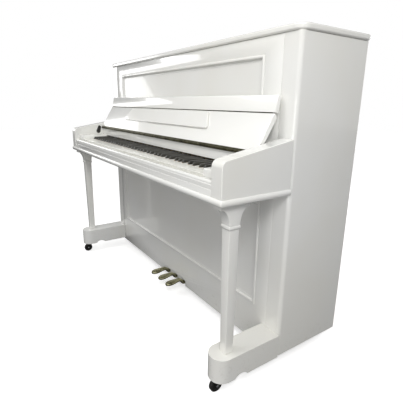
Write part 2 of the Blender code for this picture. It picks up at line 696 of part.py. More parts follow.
def build_desk(fall, hinge):
    """The music desk: a flap with slanting ends, hinged at its foot and folded on the fall."""
    half = DESK_FOOT_HALF
    slant = math.degrees(math.atan2(DESK_FOOT_HALF - DESK_TOP_HALF, DESK_LENGTH))
    outline = arc(-half + DESK_CORNER, DESK_CORNER, DESK_CORNER, 180 - slant, 270, 4)
    outline += arc(half - DESK_CORNER, DESK_CORNER, DESK_CORNER, 270, 360 + slant, 4)
    outline += [(DESK_TOP_HALF, DESK_LENGTH), (-DESK_TOP_HALF, DESK_LENGTH)]
    mesh = extrusion(outline, GAP, GAP + DESK_THICK, PLAN)
    foot = Vector((0, *along(hinge, FALL_LEAN, DESK_START, 0)))
    mesh.transform(Matrix.Translation(foot) @ Matrix.Rotation(FALL_LEAN, 4, "X"))
    desk = add_part("music_desk", mesh, LACQUER, pivot=foot, parent=fall)
    round_edges(desk, DESK_EDGE)


def build_fall_hinge(x):
    """The fixed leaf of the long hinge on the nameboard, with its knuckle."""
    top = KEYBED_Z + NAMEBOARD_Z + NAMEBOARD_HEIGHT + GAP
    leaf = add_part("fallboard_hinge", boxes((
        (-x, HINGE_Y - KNUCKLE_RADIUS / 2, top),
        (x, NAMEBOARD_Y + NAMEBOARD_THICK, top + HINGE_LEAF))), BRASS)
    neck = ((-x, HINGE_Y - KNUCKLE_RADIUS / 2, top),
            (x, HINGE_Y + KNUCKLE_RADIUS / 2, HINGE_Z))
    combine(leaf, boxes(neck), "UNION")
    ends = ((-x, HINGE_Y, HINGE_Z), (x, HINGE_Y, HINGE_Z))
    combine(leaf, rods(ends, radius=KNUCKLE_RADIUS, sides=10), "UNION")


# ---- legs and toes -------------------------------------------------------------------------
def build_legs():
    """Square tapered legs, each with a collar and a capital hollowed at front and back."""
    top = KEYBED_Z - GAP
    collar = top - CAPITAL_HEIGHT
    hollow_y = CAPITAL_HALF - CAPITAL_NECK_HALF
    hollow_z = CAPITAL_HEIGHT - CAPITAL_FILLET
    front = [(LEG_Y - CAPITAL_NECK_HALF, collar - OVERLAP)]
    for u, v in arc(0, 0, 1, 0, 90, 5):
        front.append((LEG_Y - CAPITAL_HALF + hollow_y * u, collar + hollow_z * v))
    front.append((LEG_Y - CAPITAL_HALF, top))
    outline = front + [(2 * LEG_Y - y, z) for y, z in reversed(front)]
    for word, side in SIDES:
        middle = side * LEG_X
        low, high = middle - CAPITAL_NECK_HALF, middle + CAPITAL_NECK_HALF
        leg = add_part(f"leg_{word}", extrusion(outline, low, high, SIDE_ON), LACQUER)
        combine(leg, boxes(((middle - COLLAR_HALF, LEG_Y - COLLAR_HALF, collar - COLLAR_HEIGHT),
                            (middle + COLLAR_HALF, LEG_Y + COLLAR_HALF, collar))), "UNION")
        combine(leg, tapered_shaft(middle, TOE_TOP_Z + GAP, collar - COLLAR_HEIGHT / 2), "UNION")


def tapered_shaft(middle, low, high):
    """A square shaft that is narrower at its foot."""
    bm = bmesh.new()
    half = math.sqrt(2)
    place = Matrix.Translation((middle, LEG_Y, (low + high) / 2)) @ Matrix.Rotation(
        math.pi / 4, 4, "Z")
    bmesh.ops.create_cone(bm, cap_ends=True, segments=4, radius1=LEG_FOOT_HALF * half,
                          radius2=LEG_TOP_HALF * half, depth=high - low, matrix=place)
    return mesh_of(bm)


def build_toes():
    """The toe blocks that carry the legs, round at the nose and notched behind the caster."""
    radius = TOE_WIDTH / 2
    middle = HALF_WIDTH + TOE_OVERHANG - radius
    nose = FRONT_Y - TOE_REACH + radius
    outline = arc(middle, nose, radius, 180, 360, 10)
    outline += [(middle + radius, FRONT_Y - GAP), (middle - radius, FRONT_Y - GAP)]
    notch_radius = (NOTCH_HALF ** 2 + NOTCH_DEPTH ** 2) / (2 * NOTCH_DEPTH)
    notch = Vector((0, FRONT_Y - NOTCH_REACH, SIDE_CLEARANCE + NOTCH_DEPTH - notch_radius))
    for word, side in SIDES:
        toe = add_part(f"toe_{word}", extrusion(mirrored(outline, side), SIDE_CLEARANCE,
                                                TOE_TOP_Z, PLAN), LACQUER)
        across = Vector((radius + SLIDE, 0, 0))
        at = notch + Vector((side * middle, 0, 0))
        combine(toe, rods((at - across, at + across), radius=notch_radius, sides=48), "DIFFERENCE")


# ---- casters -------------------------------------------------------------------------------
def caster_places():
    """Where each caster swivels."""
    front = FRONT_Y - CASTER_REACH
    rear = BACK_Y - CASTER_REAR_IN
    places = {}
    for word, side in SIDES:
        places[f"front_{word}"] = (side * (HALF_WIDTH - CASTER_INSET), front)
        places[f"rear_{word}"] = (side * (SIDE_INNER - POST_WIDTH / 2 - GAP), rear)
    return places


def build_casters():
    """Four swivel casters, each a fork with its axle and a wheel beside its swivel."""
    for word, (x, y) in caster_places().items():
        way = -1 if y < FRONT_Y else 1
        fork = build_fork(f"caster_fork_{word}", x, y, way)
        build_wheel(f"caster_wheel_{word}", x, y + way * TRAIL, fork)


def build_fork(name, x, y, way):
    """A round top plate, two cheeks and the axle between them."""
    top = SIDE_CLEARANCE - GAP
    low = top - CASTER_PLATE
    axle = y + way * TRAIL
    fork = add_part(name, rods(((x, y, low), (x, y, top)), radius=CASTER_PLATE_RADIUS), BLACK_METAL,
                    pivot=(x, y, top))
    near = WHEEL_WIDTH / 2 + CHEEK_PLAY
    cheek = [(-TRAIL, low + OVERLAP), (-TRAIL, low - 2 * OVERLAP)]
    cheek += arc(TRAIL, WHEEL_RADIUS, 2 * AXLE_RADIUS, 200, 360, 6)
    cheek += [(2 * TRAIL, low + OVERLAP)]
    cheek = [(y + way * u, z) for u, z in cheek]
    for side in (-1, 1):
        first, last = ranged(side, near, near + CHEEK_THICK)
        combine(fork, extrusion(cheek, x + first, x + last, SIDE_ON), "UNION")
    reach = near + CHEEK_THICK / 2
    combine(fork, rods(((x - reach, axle, WHEEL_RADIUS), (x + reach, axle, WHEEL_RADIUS)),
                       radius=AXLE_RADIUS, sides=10), "UNION")
    return fork


def build_wheel(name, x, y, fork):
    """A solid wheel with round shoulders, turned about its axle."""
    bore = AXLE_RADIUS + AXLE_PLAY
    half, rim = WHEEL_WIDTH / 2, WHEEL_RADIUS - WHEEL_ROUND
    profile = [(bore, half)] + [(r, h) for r, h in reversed(
        arc(rim, half - WHEEL_ROUND, WHEEL_ROUND, 0, 90, 2))]
    profile += [(r, h) for r, h in reversed(
        arc(rim, -half + WHEEL_ROUND, WHEEL_ROUND, -90, 0, 2))]
    profile += [(bore, -half)]
    bm = bmesh.new()
    verts = [bm.verts.new((r, 0, h)) for r, h in profile]
    for first, last in zip(verts, verts[1:] + verts[:1]):
        bm.edges.new((first, last))
    turn = Matrix.Translation((x, y, WHEEL_RADIUS)) @ Matrix.Rotation(math.pi / 2, 4, "Y")
    wheel = add_part(name, mesh_of(bm), BLACK_TYRE, parent=fork)
    wheel.matrix_basis = Matrix.Translation(-fork.location) @ turn
    screw = wheel.modifiers.new("turned", "SCREW")
    screw.axis = "Z"
    screw.steps = screw.render_steps = 24
    screw.use_merge_vertices = True
    screw.merge_threshold = 0.0001


# ---- pedals --------------------------------------------------------------------------------
def pedal_places():
    """X of each pedal."""
    return {word: PEDAL_SHIFT + step * PEDAL_SPACING
            for word, step in (("left", -1), ("middle", 0), ("right", 1))}


def pedal_path():
    """A pedal's middle line as (y, z, climb): level inside, up, over its crown, out to its tip."""
    path = [(ROD_Y + 2 * ROD_RADIUS, PEDAL_Z, 0), (FRONT_Y, PEDAL_Z, 0)]
    for i in range(1, NECK_STEPS + 1):
        climb = NECK_TURN * i / NECK_STEPS
        path.append((FRONT_Y - NECK_RADIUS * math.sin(climb),
                     PEDAL_Z + NECK_RADIUS * (1 - math.cos(climb)), climb))
    crown_y = path[-1][0] - CROWN_RADIUS * math.sin(NECK_TURN)
    crown_z = path[-1][1] - CROWN_RADIUS * math.cos(NECK_TURN)
    for i in range(1, CROWN_STEPS + 1):
        climb = NECK_TURN - (NECK_TURN + TIP_FALL) * i / CROWN_STEPS
        path.append((crown_y + CROWN_RADIUS * math.sin(climb),
                     crown_z + CROWN_RADIUS * math.cos(climb), climb))
    tip = FRONT_Y - PEDAL_OUT
    fall = (path[-1][0] - tip) * math.tan(TIP_FALL)
    return path + [(tip, path[-1][1] - fall, -TIP_FALL)]


def pedal_side_view():
    """A pedal's outline seen from its side: its path made thick."""
    half = PEDAL_THICK / 2
    path = pedal_path()
    top = [(y + half * math.sin(climb), z + half * math.cos(climb)) for y, z, climb in path]
    foot = [(y - half * math.sin(climb), z - half * math.cos(climb)) for y, z, climb in path]
    return top + foot[::-1]


def build_pedals():
    """Three brass pedals, each with its pivot pin, and the rods that they lift."""
    tip, rear = FRONT_Y - PEDAL_OUT, ROD_Y + 2 * ROD_RADIUS
    for word, x in pedal_places().items():
        shape = extrusion(pedal_side_view(), x - TIP_WIDTH, x + TIP_WIDTH, SIDE_ON)
        pedal = add_part(f"pedal_{word}", shape, BRASS, pivot=(x, PIVOT_Y, PEDAL_Z))
        radius, shank = TIP_WIDTH / 2, SHANK_WIDTH / 2
        straight = tip + SHANK_SHARE * radius
        plan = [(x - shank, rear), (x - shank, straight)]
        plan += [(x + u, tip + TIP_STRETCH * (radius + v))
                 for u, v in arc(0, 0, radius, 180, 360, 10)]
        plan += [(x + shank, straight), (x + shank, rear)]
        combine(pedal, extrusion(plan, 0, BOARD_Z + PEDAL_THICK, PLAN), "INTERSECT")
        reach = shank + CHEEK_SIDE + CHEEK_BLOCK
        combine(pedal, rods(((x - reach, PIVOT_Y, PEDAL_Z), (x + reach, PIVOT_Y, PEDAL_Z)),
                            radius=PIN_RADIUS, sides=12), "UNION")
        low, high = PEDAL_TOP_Z + LIFT_PLAY, KEYBED_Z + RAIL_Z - SLIDE * 4
        add_part(f"pedal_rod_{word}", rods(((x, ROD_Y, low), (x, ROD_Y, high)),
                                           radius=ROD_RADIUS, sides=12), BARE_WOOD,
                 pivot=(x, ROD_Y, low))


# ---- back, plate and action ----------------------------------------------------------------
def build_back():
    """The frame of posts, the ribbed soundboard and the iron plate."""
    x = SIDE_INNER - GAP
    low, high = SIDE_CLEARANCE, CASE_TOP - GAP
    frame = add_part("back_frame", boxes(((-x, POST_Y, low), (x, BACK_Y, high))), BARE_WOOD)
    pitch = (2 * x - POST_WIDTH) / (POSTS - 1)
    bays = [((-x + POST_WIDTH + i * pitch, POST_Y - SLIDE, low + FRAME_RAIL),
             (-x + (i + 1) * pitch, BACK_Y + SLIDE, high - FRAME_RAIL)) for i in range(POSTS - 1)]
    combine(frame, boxes(*bays), "DIFFERENCE")
    build_soundboard(x)
    build_plate(x)
    build_pin_block(x)


def build_soundboard(x):
    """A thin board with slanting ribs on its back."""
    low, high = BOARD_Z + BOARD_THICK + SLIDE, CASE_TOP - FRAME_RAIL - SLIDE
    board = add_part("soundboard", boxes(((-x + SLIDE, SOUNDBOARD_Y, low),
                     (x - SLIDE, SOUNDBOARD_Y + SOUNDBOARD_THICK, high))), SPRUCE)
    bm = bmesh.new()
    depth = RIB_DEPTH + OVERLAP
    middle_y = SOUNDBOARD_Y + SOUNDBOARD_THICK - OVERLAP + depth / 2
    for i in range(RIBS):
        share = (i + 0.5) / RIBS * 2 - 1
        along_x = share * (x - SLIDE) * RIB_SPREAD
        room = min((x - SLIDE - abs(along_x)) / math.cos(RIB_TURN),
                   (high - low) / 2 / math.sin(RIB_TURN))
        place = Matrix.Translation((along_x, middle_y, (low + high) / 2)) @ Matrix.Rotation(
            RIB_TURN, 4, "Y") @ Matrix.Diagonal((2 * room - 3 * RIB_WIDTH, depth, RIB_WIDTH, 1))
        bmesh.ops.create_cube(bm, size=1, matrix=place)
    combine(board, mesh_of(bm), "UNION")


def build_plate(x):
    """The cast-iron plate that holds the strings, with a row of bays between its struts."""
    low, high = BOARD_Z + BOARD_THICK + 2 * SLIDE, CASE_TOP - PLATE_DOWN
    half = x - 2 * SLIDE
    plate = add_part("iron_plate", boxes(((-half, PLATE_Y, low),
                     (half, PLATE_Y + PLATE_THICK, high))), GOLD_IRON)
    pitch = (2 * half - PLATE_STRUT) / PLATE_BAYS
    bay_low = low + BAY_LOW_SHARE * (high - low)
    bay_high = low + BAY_HIGH_SHARE * (high - low)
    bays = [((-half + PLATE_STRUT + i * pitch, PLATE_Y - SLIDE, bay_low),
             (-half + (i + 1) * pitch, PLATE_Y + PLATE_THICK + SLIDE, bay_high))
            for i in range(PLATE_BAYS)]
    combine(plate, boxes(*bays), "DIFFERENCE")


def build_pin_block(x):
    """The plank behind the top of the plate, which the tuning pins are driven into."""
    high = CASE_TOP - PLATE_DOWN
    add_part("pin_block", boxes(((-x + SLIDE, PLATE_Y + PLATE_THICK + GAP,
                                  CASE_TOP - FRAME_RAIL), (x - SLIDE, POST_Y - GAP, high))),
             BARE_WOOD)


def comb(low_z, high_z, rail_height, count, tooth):
    """Front outline of a slightly crowned rail with upright teeth, one above each key."""
    x = KEYS_HALF - KEY_GAP
    pitch = 2 * x / count
    points = [(-x, low_z), (x, low_z)]
    for i in reversed(range(count)):
        middle = -x + (i + 0.5) * pitch
        for u, ends in ((middle + tooth / 2, (0, 1)), (middle - tooth / 2, (1, 0))):
            root = low_z + rail_height - RAIL_CROWN * (u / x) ** 2
            points += [(u, high_z if end else root) for end in ends]
    return points


def build_action():
    """The action: its frame, the hammers and their rest rail, dampers and muffler rail."""
    keys = HIGHEST_KEY - LOWEST_KEY + 1
    x = KEYS_HALF - KEY_GAP
    hammer_y = STRING_Y - HAMMER_FROM_STRINGS
    low = KEYBED_Z + HAMMER_Z
    add_part("hammer_set", extrusion(comb(low, low + HAMMER_LENGTH, BUTT_HEIGHT, keys, HAMMER_WIDTH),
                                     hammer_y, hammer_y + HAMMER_DEPTH, FACE_ON), FELT,
             pivot=(0, hammer_y + HAMMER_DEPTH / 2, low))
    damper_y = STRING_Y - DAMPER_FROM_STRINGS
    low = KEYBED_Z + DAMPER_Z
    add_part("damper_set", extrusion(comb(low, low + DAMPER_LENGTH, BUTT_HEIGHT, keys, HAMMER_WIDTH),
                                     damper_y, damper_y + DAMPER_DEPTH, FACE_ON), FELT,
             pivot=(0, damper_y + DAMPER_DEPTH / 2, low))
    rest_y, low = STRING_Y - REST_FROM_STRINGS, KEYBED_Z + REST_Z
    rest = add_part("hammer_rest_rail", boxes(((-x, rest_y, low),
                    (x, rest_y + REST_SIZE, low + REST_SIZE))), FELT,
                    pivot=(0, hammer_y + HAMMER_DEPTH / 2, KEYBED_Z + HAMMER_Z))
    round_edges(rest, REST_EDGE)
    muffler_y, low = STRING_Y - MUFFLER_FROM_STRINGS, KEYBED_Z + MUFFLER_Z
    add_part("muffler_rail", boxes(((-x, muffler_y, low),
             (x, muffler_y + MUFFLER_THICK, low + MUFFLER_HEIGHT))), FELT,
             pivot=(0, muffler_y, low))
    build_action_frame(x)


def build_action_frame(x):
    """The main rail of the action on a bracket at each end."""
    near = x + SLIDE
    front = STRING_Y - BRACKET_FROM_STRINGS
    low = KEYBED_TOP_Z + GAP
    brackets = []
    for side in (-1, 1):
        first, last = ranged(side, near, near + BRACKET_THICK)
        brackets.append(((first, front, low), (last, front + BRACKET_DEPTH, low + BRACKET_HEIGHT)))
    frame = add_part("action_frame", boxes((
        (-near - OVERLAP, RAIL_FRONT_Y, KEYBED_Z + RAIL_Z),
        (near + OVERLAP, RAIL_FRONT_Y + RAIL_DEPTH, KEYBED_Z + RAIL_Z + RAIL_HEIGHT))), BLACK_METAL)
    combine(frame, boxes(*brackets), "UNION")


def main():
    clear_scene()
    build_sides()
    build_lid()
    build_panels()
    build_bottom_board()
    build_keybed()
    build_moulding()
    build_arms()
    build_key_surround()
    build_key_frame()
    build_keys()
    build_fall()
    build_legs()
    build_toes()
    build_casters()
    build_pedals()
    build_back()
    build_action()


main()
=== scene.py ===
import json
import logging
import math
from dataclasses import dataclass, field
from enum import Enum
from typing import Any, Callable, Sequence

import bmesh
import bpy
from mathutils import Matrix, Vector


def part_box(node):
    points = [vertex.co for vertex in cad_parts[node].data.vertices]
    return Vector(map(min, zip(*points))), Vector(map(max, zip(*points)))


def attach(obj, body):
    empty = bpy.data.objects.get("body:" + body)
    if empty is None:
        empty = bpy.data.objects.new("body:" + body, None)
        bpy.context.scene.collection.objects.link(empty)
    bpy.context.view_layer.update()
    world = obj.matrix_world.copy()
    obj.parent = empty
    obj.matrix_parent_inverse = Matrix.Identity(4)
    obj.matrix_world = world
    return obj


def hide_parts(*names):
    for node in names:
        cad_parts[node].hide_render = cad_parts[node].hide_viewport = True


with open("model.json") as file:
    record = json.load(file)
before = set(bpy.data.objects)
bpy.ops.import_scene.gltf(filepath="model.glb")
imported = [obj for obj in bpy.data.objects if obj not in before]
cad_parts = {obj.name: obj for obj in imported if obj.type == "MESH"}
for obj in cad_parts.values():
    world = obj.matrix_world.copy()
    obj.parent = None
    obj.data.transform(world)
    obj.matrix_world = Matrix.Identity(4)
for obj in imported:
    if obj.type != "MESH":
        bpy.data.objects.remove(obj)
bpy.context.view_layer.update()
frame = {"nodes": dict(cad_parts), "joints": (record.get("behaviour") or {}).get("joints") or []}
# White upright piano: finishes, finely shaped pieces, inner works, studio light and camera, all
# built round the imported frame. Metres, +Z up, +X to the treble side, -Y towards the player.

LOG = logging.getLogger("upright_piano")
Pair = tuple[float, float]
Mesh = bpy.types.Mesh
Material = bpy.types.Material

MM = 0.001
CAD_GAP = 0.3 * MM          # between touching pieces
HALF_TURN = math.pi
QUARTER_TURN = HALF_TURN / 2
UPRIGHT = Matrix.Identity(4)
ACROSS = Matrix.Rotation(QUARTER_TURN, 4, "Y")
FORWARD = (QUARTER_TURN, 0.0, 0.0)   # turns a small upright shape to face the player
UNDER = (HALF_TURN, 0.0, 0.0)        # turns it upside down
STRIKE_Z = 0.985                     # where the hammers strike
NOTES = 88
PEDALS = ("left", "middle", "right")


class Look(Enum):
    """Every finish on the piano. Its value, the name of its material slot in the record where it
    has one, is not used.
    """

    LACQUER = "white_lacquer"
    KEY_TOP = "key_tops"
    SHARP = "sharps"
    BEECH = "bare_wood"
    SPRUCE = "soundboard_spruce"
    BRASS = "aged_brass"
    DULL_BRASS = "dulled_brass"
    GOLD_IRON = "gold_iron"
    BLACK_IRON = "black_metal"
    RUBBER = "caster_rubber"
    WHITE_FELT = "felt"
    RED_FELT = "red_felt"
    MAPLE = "action_maple"
    STEEL = "steel_wire"
    COPPER = "copper_wire"


class Facing(Enum):
    """How a flat outline lies before it is made thick. Each value turns it into place."""

    PLAN = Matrix.Identity(4)
    SIDE = Matrix(((0, 0, 1, 0), (1, 0, 0, 0), (0, 1, 0, 0), (0, 0, 0, 1)))
    FRONT = Matrix(((1, 0, 0, 0), (0, 0, 1, 0), (0, 1, 0, 0), (0, 0, 0, 1)))


class Grain(Enum):
    """Which way a board's grain runs: how much a pattern is squeezed along X, Y and Z."""

    ALONG_X = (0.03, 1.0, 1.0)
    ALONG_Y = (1.0, 0.03, 1.0)
    ALONG_Z = (1.0, 1.0, 0.03)


SIDES = (("left", -1), ("right", 1))


# ---- colours and nodes ---------------------------------------------------------------------
def linear(hex_colour: str) -> tuple[float, float, float, float]:
    """Turn an sRGB hex colour into linear light.

    Args:
        hex_colour: The colour as "#rrggbb".

    Returns:
        Red, green, blue and an alpha of 1.
    """
    parts = [int(hex_colour[i:i + 2], 16) / 255 for i in (1, 3, 5)]
    red, green, blue = (c / 12.92 if c <= 0.04045 else ((c + 0.055) / 1.055) ** 2.4 for c in parts)
    return red, green, blue, 1.0


def add_node(tree: bpy.types.NodeTree, kind: str, inputs: dict[int | str, Any] | None = None,
             **settings: Any) -> bpy.types.Node:
    """Add a node with its settings and links.

    Args:
        tree: The node tree it goes into.
        kind: The node's type.
        inputs: A value or an output socket for each input, by its name or number.
        **settings: The node's own properties.

    Returns:
        The new node.
    """
    made = tree.nodes.new(kind)
    for key, value in settings.items():
        setattr(made, key, value)
    for key, value in (inputs or {}).items():
        if isinstance(value, bpy.types.NodeSocket):
            tree.links.new(value, made.inputs[key])
        else:
            made.inputs[key].default_value = value
    return made


def noise(tree: bpy.types.NodeTree, place: bpy.types.NodeSocket, size: float,
          detail: float = 2.0, roughness: float = 0.5,
          distortion: float = 0.0) -> bpy.types.NodeSocket:
    """A cloudy pattern.

    Args:
        tree: The node tree it goes into.
        place: The coordinates it follows.
        size: How broad its clouds are, in metres.
        detail: How many finer layers it has.
        roughness: How strong they are.
        distortion: How far it is warped.

    Returns:
        The pattern, from 0 to 1.
    """
    return add_node(tree, "ShaderNodeTexNoise", {
        "Vector": place, "Scale": 1 / size, "Detail": detail, "Roughness": roughness,
        "Distortion": distortion}).outputs[0]


def tune(shader: bpy.types.Node, values: dict[str, Any]) -> None:
    """Set a node's inputs by name."""
    for name, value in values.items():
        shader.inputs[name].default_value = value


# ---- finishes ------------------------------------------------------------------------------
@dataclass(frozen=True)
class Finish:
    """What every finish has.

    Attributes:
        name: The material's name.
        colour: Its main colour in sRGB hex.
        second: The colour that it shades into.
        roughness: Its middle roughness.
    """

    name: str
    colour: str
    second: str
    roughness: float

    def make(self) -> Material:
        """Build the material, with its pattern in the piece's own coordinates."""
        material = bpy.data.materials.new(self.name)
        material.use_nodes = True
        tree = material.node_tree
        shader = tree.nodes["Principled BSDF"]
        place = add_node(tree, "ShaderNodeTexCoord").outputs["Object"]
        self.dress(tree, shader, place)
        return material

    def dress(self, tree: bpy.types.NodeTree, shader: bpy.types.Node,
              place: bpy.types.NodeSocket) -> None:
        """Link the finish's own nodes to the shader.

        Args:
            tree: The material's node tree.
            shader: Its principled shader.
            place: Object coordinates.
        """
        raise NotImplementedError

    def shade(self, tree: bpy.types.NodeTree, shader: bpy.types.Node,
              share: bpy.types.NodeSocket, colours: Pair = (0.35, 0.65),
              spread: float = 0.25) -> bpy.types.NodeSocket:
        """Let one pattern move the colour and the roughness between their ends.

        Args:
            tree: The material's node tree.
            shader: Its principled shader.
            share: The pattern, from 0 to 1.
            colours: Where in the pattern the colour starts and stops to change.
            spread: How far the roughness goes up and down, as a share of itself.

        Returns:
            The mixed colour.
        """
        low, high = colours
        part = add_node(tree, "ShaderNodeMapRange", {0: share, 1: low, 2: high})
        mixed = add_node(tree, "ShaderNodeMix", {
            0: part.outputs[0], 6: linear(self.colour), 7: linear(self.second)}, data_type="RGBA")
        rough = add_node(tree, "ShaderNodeMapRange", {
            0: share, 3: self.roughness * (1 - spread), 4: self.roughness * (1 + spread)})
        tree.links.new(mixed.outputs[2], shader.inputs["Base Color"])
        tree.links.new(rough.outputs[0], shader.inputs["Roughness"])
        return mixed.outputs[2]

    def emboss(self, tree: bpy.types.NodeTree, shader: bpy.types.Node,
               height: bpy.types.NodeSocket, depth: float, strength: float) -> None:
        """Give the surface a fine relief.

        Args:
            tree: The material's node tree.
            shader: Its principled shader.
            height: The relief, from 0 to 1.
            depth: Its depth in metres.
            strength: How much of it shows.
        """
        relief = add_node(tree, "ShaderNodeBump", {
            "Height": height, "Distance": depth, "Strength": strength})
        tree.links.new(relief.outputs[0], shader.inputs["Normal"])


@dataclass(frozen=True)
class Lacquer(Finish):
    """Polyester lacquer, sprayed thick and buffed.

    The eye gets a deep hard gloss over white, with the faint orange peel that spraying leaves,
    buffing haze, a slight yellowing with age and grey kick marks near the floor.
    """

    scuff: str = "#b9b5a8"
    scuff_height: float = 0.16
    scuff_size: float = 16 * MM
    age_size: float = 0.45
    peel_size: float = 7 * MM
    haze_size: float = 45 * MM

    def dress(self, tree: bpy.types.NodeTree, shader: bpy.types.Node,
              place: bpy.types.NodeSocket) -> None:
        """See Finish.dress."""
        tone = self.shade(tree, shader, noise(tree, place, self.age_size, 3.0, 0.55))
        haze = noise(tree, place, self.haze_size, 5.0, 0.6)
        rough = add_node(tree, "ShaderNodeMapRange", {
            0: haze, 1: 0.3, 2: 0.7, 3: self.roughness * 0.7, 4: self.roughness * 1.5})
        tree.links.new(rough.outputs[0], shader.inputs["Roughness"])
        height = add_node(tree, "ShaderNodeSeparateXYZ", {0: place})
        low = add_node(tree, "ShaderNodeMapRange", {
            0: height.outputs[2], 1: self.scuff_height, 2: 0.0, 3: 0.0, 4: 1.0})
        marks = noise(tree, place, self.scuff_size, 8.0, 0.75, 0.8)
        spots = add_node(tree, "ShaderNodeMapRange", {0: marks, 1: 0.56, 2: 0.72})
        worn = add_node(tree, "ShaderNodeMath", {
            0: low.outputs[0], 1: spots.outputs[0]}, operation="MULTIPLY")
        kicked = add_node(tree, "ShaderNodeMix", {
            0: worn.outputs[0], 6: tone, 7: linear(self.scuff)}, data_type="RGBA")
        tree.links.new(kicked.outputs[2], shader.inputs["Base Color"])
        peel = noise(tree, place, self.peel_size, 1.0, 0.4)
        self.emboss(tree, shader, peel, 0.06 * MM, 0.25)
        tune(shader, {"IOR": 1.5, "Coat Weight": 0.7, "Coat Roughness": 0.04})


@dataclass(frozen=True)
class Moulded(Finish):
    """Hard plastic, moulded and polished.

    The eye gets an even colour with a fine grain that runs along the key and a soft sheen, more
    polished where fingers play.
    """

    grain_width: float = 0.9 * MM
    finger_size: float = 30 * MM
    relief: float = 0.02 * MM

    def dress(self, tree: bpy.types.NodeTree, shader: bpy.types.Node,
              place: bpy.types.NodeSocket) -> None:
        """See Finish.dress."""
        stretched = add_node(tree, "ShaderNodeMapping", {"Vector": place, "Scale": (1, 0.06, 1)})
        grain = noise(tree, stretched.outputs[0], self.grain_width, 4.0)
        self.shade(tree, shader, noise(tree, place, self.finger_size, 3.0))
        self.emboss(tree, shader, grain, self.relief, 0.3)
        tune(shader, {"IOR": 1.49, "Coat Weight": 0.3, "Coat Roughness": 0.08})


@dataclass(frozen=True)
class Timber(Finish):
    """Planed wood.

    The eye gets growth rings that widen and close along the grain, short dark pores and a slight
    shine where the plane passed.
    """

    grain: Grain = Grain.ALONG_X
    turn: float = 0.0
    ring: float = 5 * MM
    pore: float = 1.2 * MM
    varnish: float = 0.0

    def dress(self, tree: bpy.types.NodeTree, shader: bpy.types.Node,
              place: bpy.types.NodeSocket) -> None:
        """See Finish.dress."""
        leaning = add_node(tree, "ShaderNodeMapping", {
            "Vector": place, "Rotation": (0, self.turn, 0)})
        along = add_node(tree, "ShaderNodeMapping", {
            "Vector": leaning.outputs[0], "Scale": self.grain.value}).outputs[0]
        rings = add_node(tree, "ShaderNodeTexWave", {
            "Vector": along, "Scale": 0.628 / self.ring, "Distortion": 5.0, "Detail": 3.0,
            "Detail Scale": 0.6}, bands_direction="DIAGONAL")
        pores = noise(tree, along, self.pore, 5.0, 0.7)
        both = add_node(tree, "ShaderNodeMix", {
            0: 0.55, 2: rings.outputs[1], 3: noise(tree, along, 14 * self.ring)})
        flecked = add_node(tree, "ShaderNodeMix", {0: 0.25, 2: both.outputs[0], 3: pores})
        self.shade(tree, shader, flecked.outputs[0], (0.2, 0.8), 0.15)
        self.emboss(tree, shader, pores, 0.12 * MM, 0.35)
        tune(shader, {"Coat Weight": self.varnish, "Coat Roughness": 0.25})


@dataclass(frozen=True)
class Metal(Finish):
    """Cast or drawn metal.

    The eye gets bright metal where hands and feet rub it, a dull film of tarnish elsewhere, and
    the fine lines of polishing.
    """

    tarnish_size: float = 18 * MM
    line_width: float = 0.7 * MM
    metallic: float = 1.0
    relief: float = 0.03 * MM
    stretch: tuple[float, float, float] = (1.0, 0.08, 1.0)

    def dress(self, tree: bpy.types.NodeTree, shader: bpy.types.Node,
              place: bpy.types.NodeSocket) -> None:
        """See Finish.dress."""
        film = noise(tree, place, self.tarnish_size, 7.0, 0.65)
        self.shade(tree, shader, film, (0.38, 0.62), 0.35)
        drawn = add_node(tree, "ShaderNodeMapping", {"Vector": place, "Scale": self.stretch})
        lines = noise(tree, drawn.outputs[0], self.line_width, 3.0)
        self.emboss(tree, shader, lines, self.relief, 0.4)
        tune(shader, {"Metallic": self.metallic})


@dataclass(frozen=True)
class Cast(Finish):
    """Sand-cast iron under bronze or black paint.

    The eye gets the pebbled skin that the sand leaves, softened by the paint, with dust lying in
    its hollows.
    """

    pebble: float = 2.2 * MM
    dust_size: float = 60 * MM
    metallic: float = 0.7

    def dress(self, tree: bpy.types.NodeTree, shader: bpy.types.Node,
              place: bpy.types.NodeSocket) -> None:
        """See Finish.dress."""
        dust = noise(tree, place, self.dust_size, 6.0, 0.6)
        self.shade(tree, shader, dust, (0.4, 0.75), 0.3)
        self.emboss(tree, shader, noise(tree, place, self.pebble, 4.0, 0.6), 0.25 * MM, 0.45)
        tune(shader, {"Metallic": self.metallic})


@dataclass(frozen=True)
class Pressed(Finish):
    """Pressed wool felt, or moulded rubber where it has no sheen.

    The eye gets a matt face broken up by matted fibres, drawn at 1.5 mm because single fibres
    are too fine to show, and the pale halo of wool at its edges.
    """

    fibre: float = 1.5 * MM
    sheen: float = 0.5
    relief: float = 0.4 * MM

    def dress(self, tree: bpy.types.NodeTree, shader: bpy.types.Node,
              place: bpy.types.NodeSocket) -> None:
        """See Finish.dress."""
        fibres = noise(tree, place, self.fibre, 6.0, 0.75, 0.6)
        self.shade(tree, shader, fibres, (0.3, 0.7), 0.08)
        self.emboss(tree, shader, fibres, self.relief, 0.5)
        tune(shader, {"Sheen Weight": self.sheen, "Sheen Roughness": 0.6})


@dataclass(frozen=True)
class Wound(Finish):
    """Wire, plain or wound round with a thinner wire.

    The eye gets a thread of highlights with a tight ripple across it.
    """

    turn_width: float = 1.4 * MM
    age_size: float = 35 * MM
    ripple: float = 0.3

    def dress(self, tree: bpy.types.NodeTree, shader: bpy.types.Node,
              place: bpy.types.NodeSocket) -> None:
        """See Finish.dress."""
        self.shade(tree, shader, noise(tree, place, self.age_size, 4.0))
        turns = add_node(tree, "ShaderNodeTexWave", {
            "Vector": place, "Scale": 0.314 / self.turn_width}, bands_direction="Z")
        self.emboss(tree, shader, turns.outputs[1], 0.2 * MM, self.ripple)
        tune(shader, {"Metallic": 1.0})


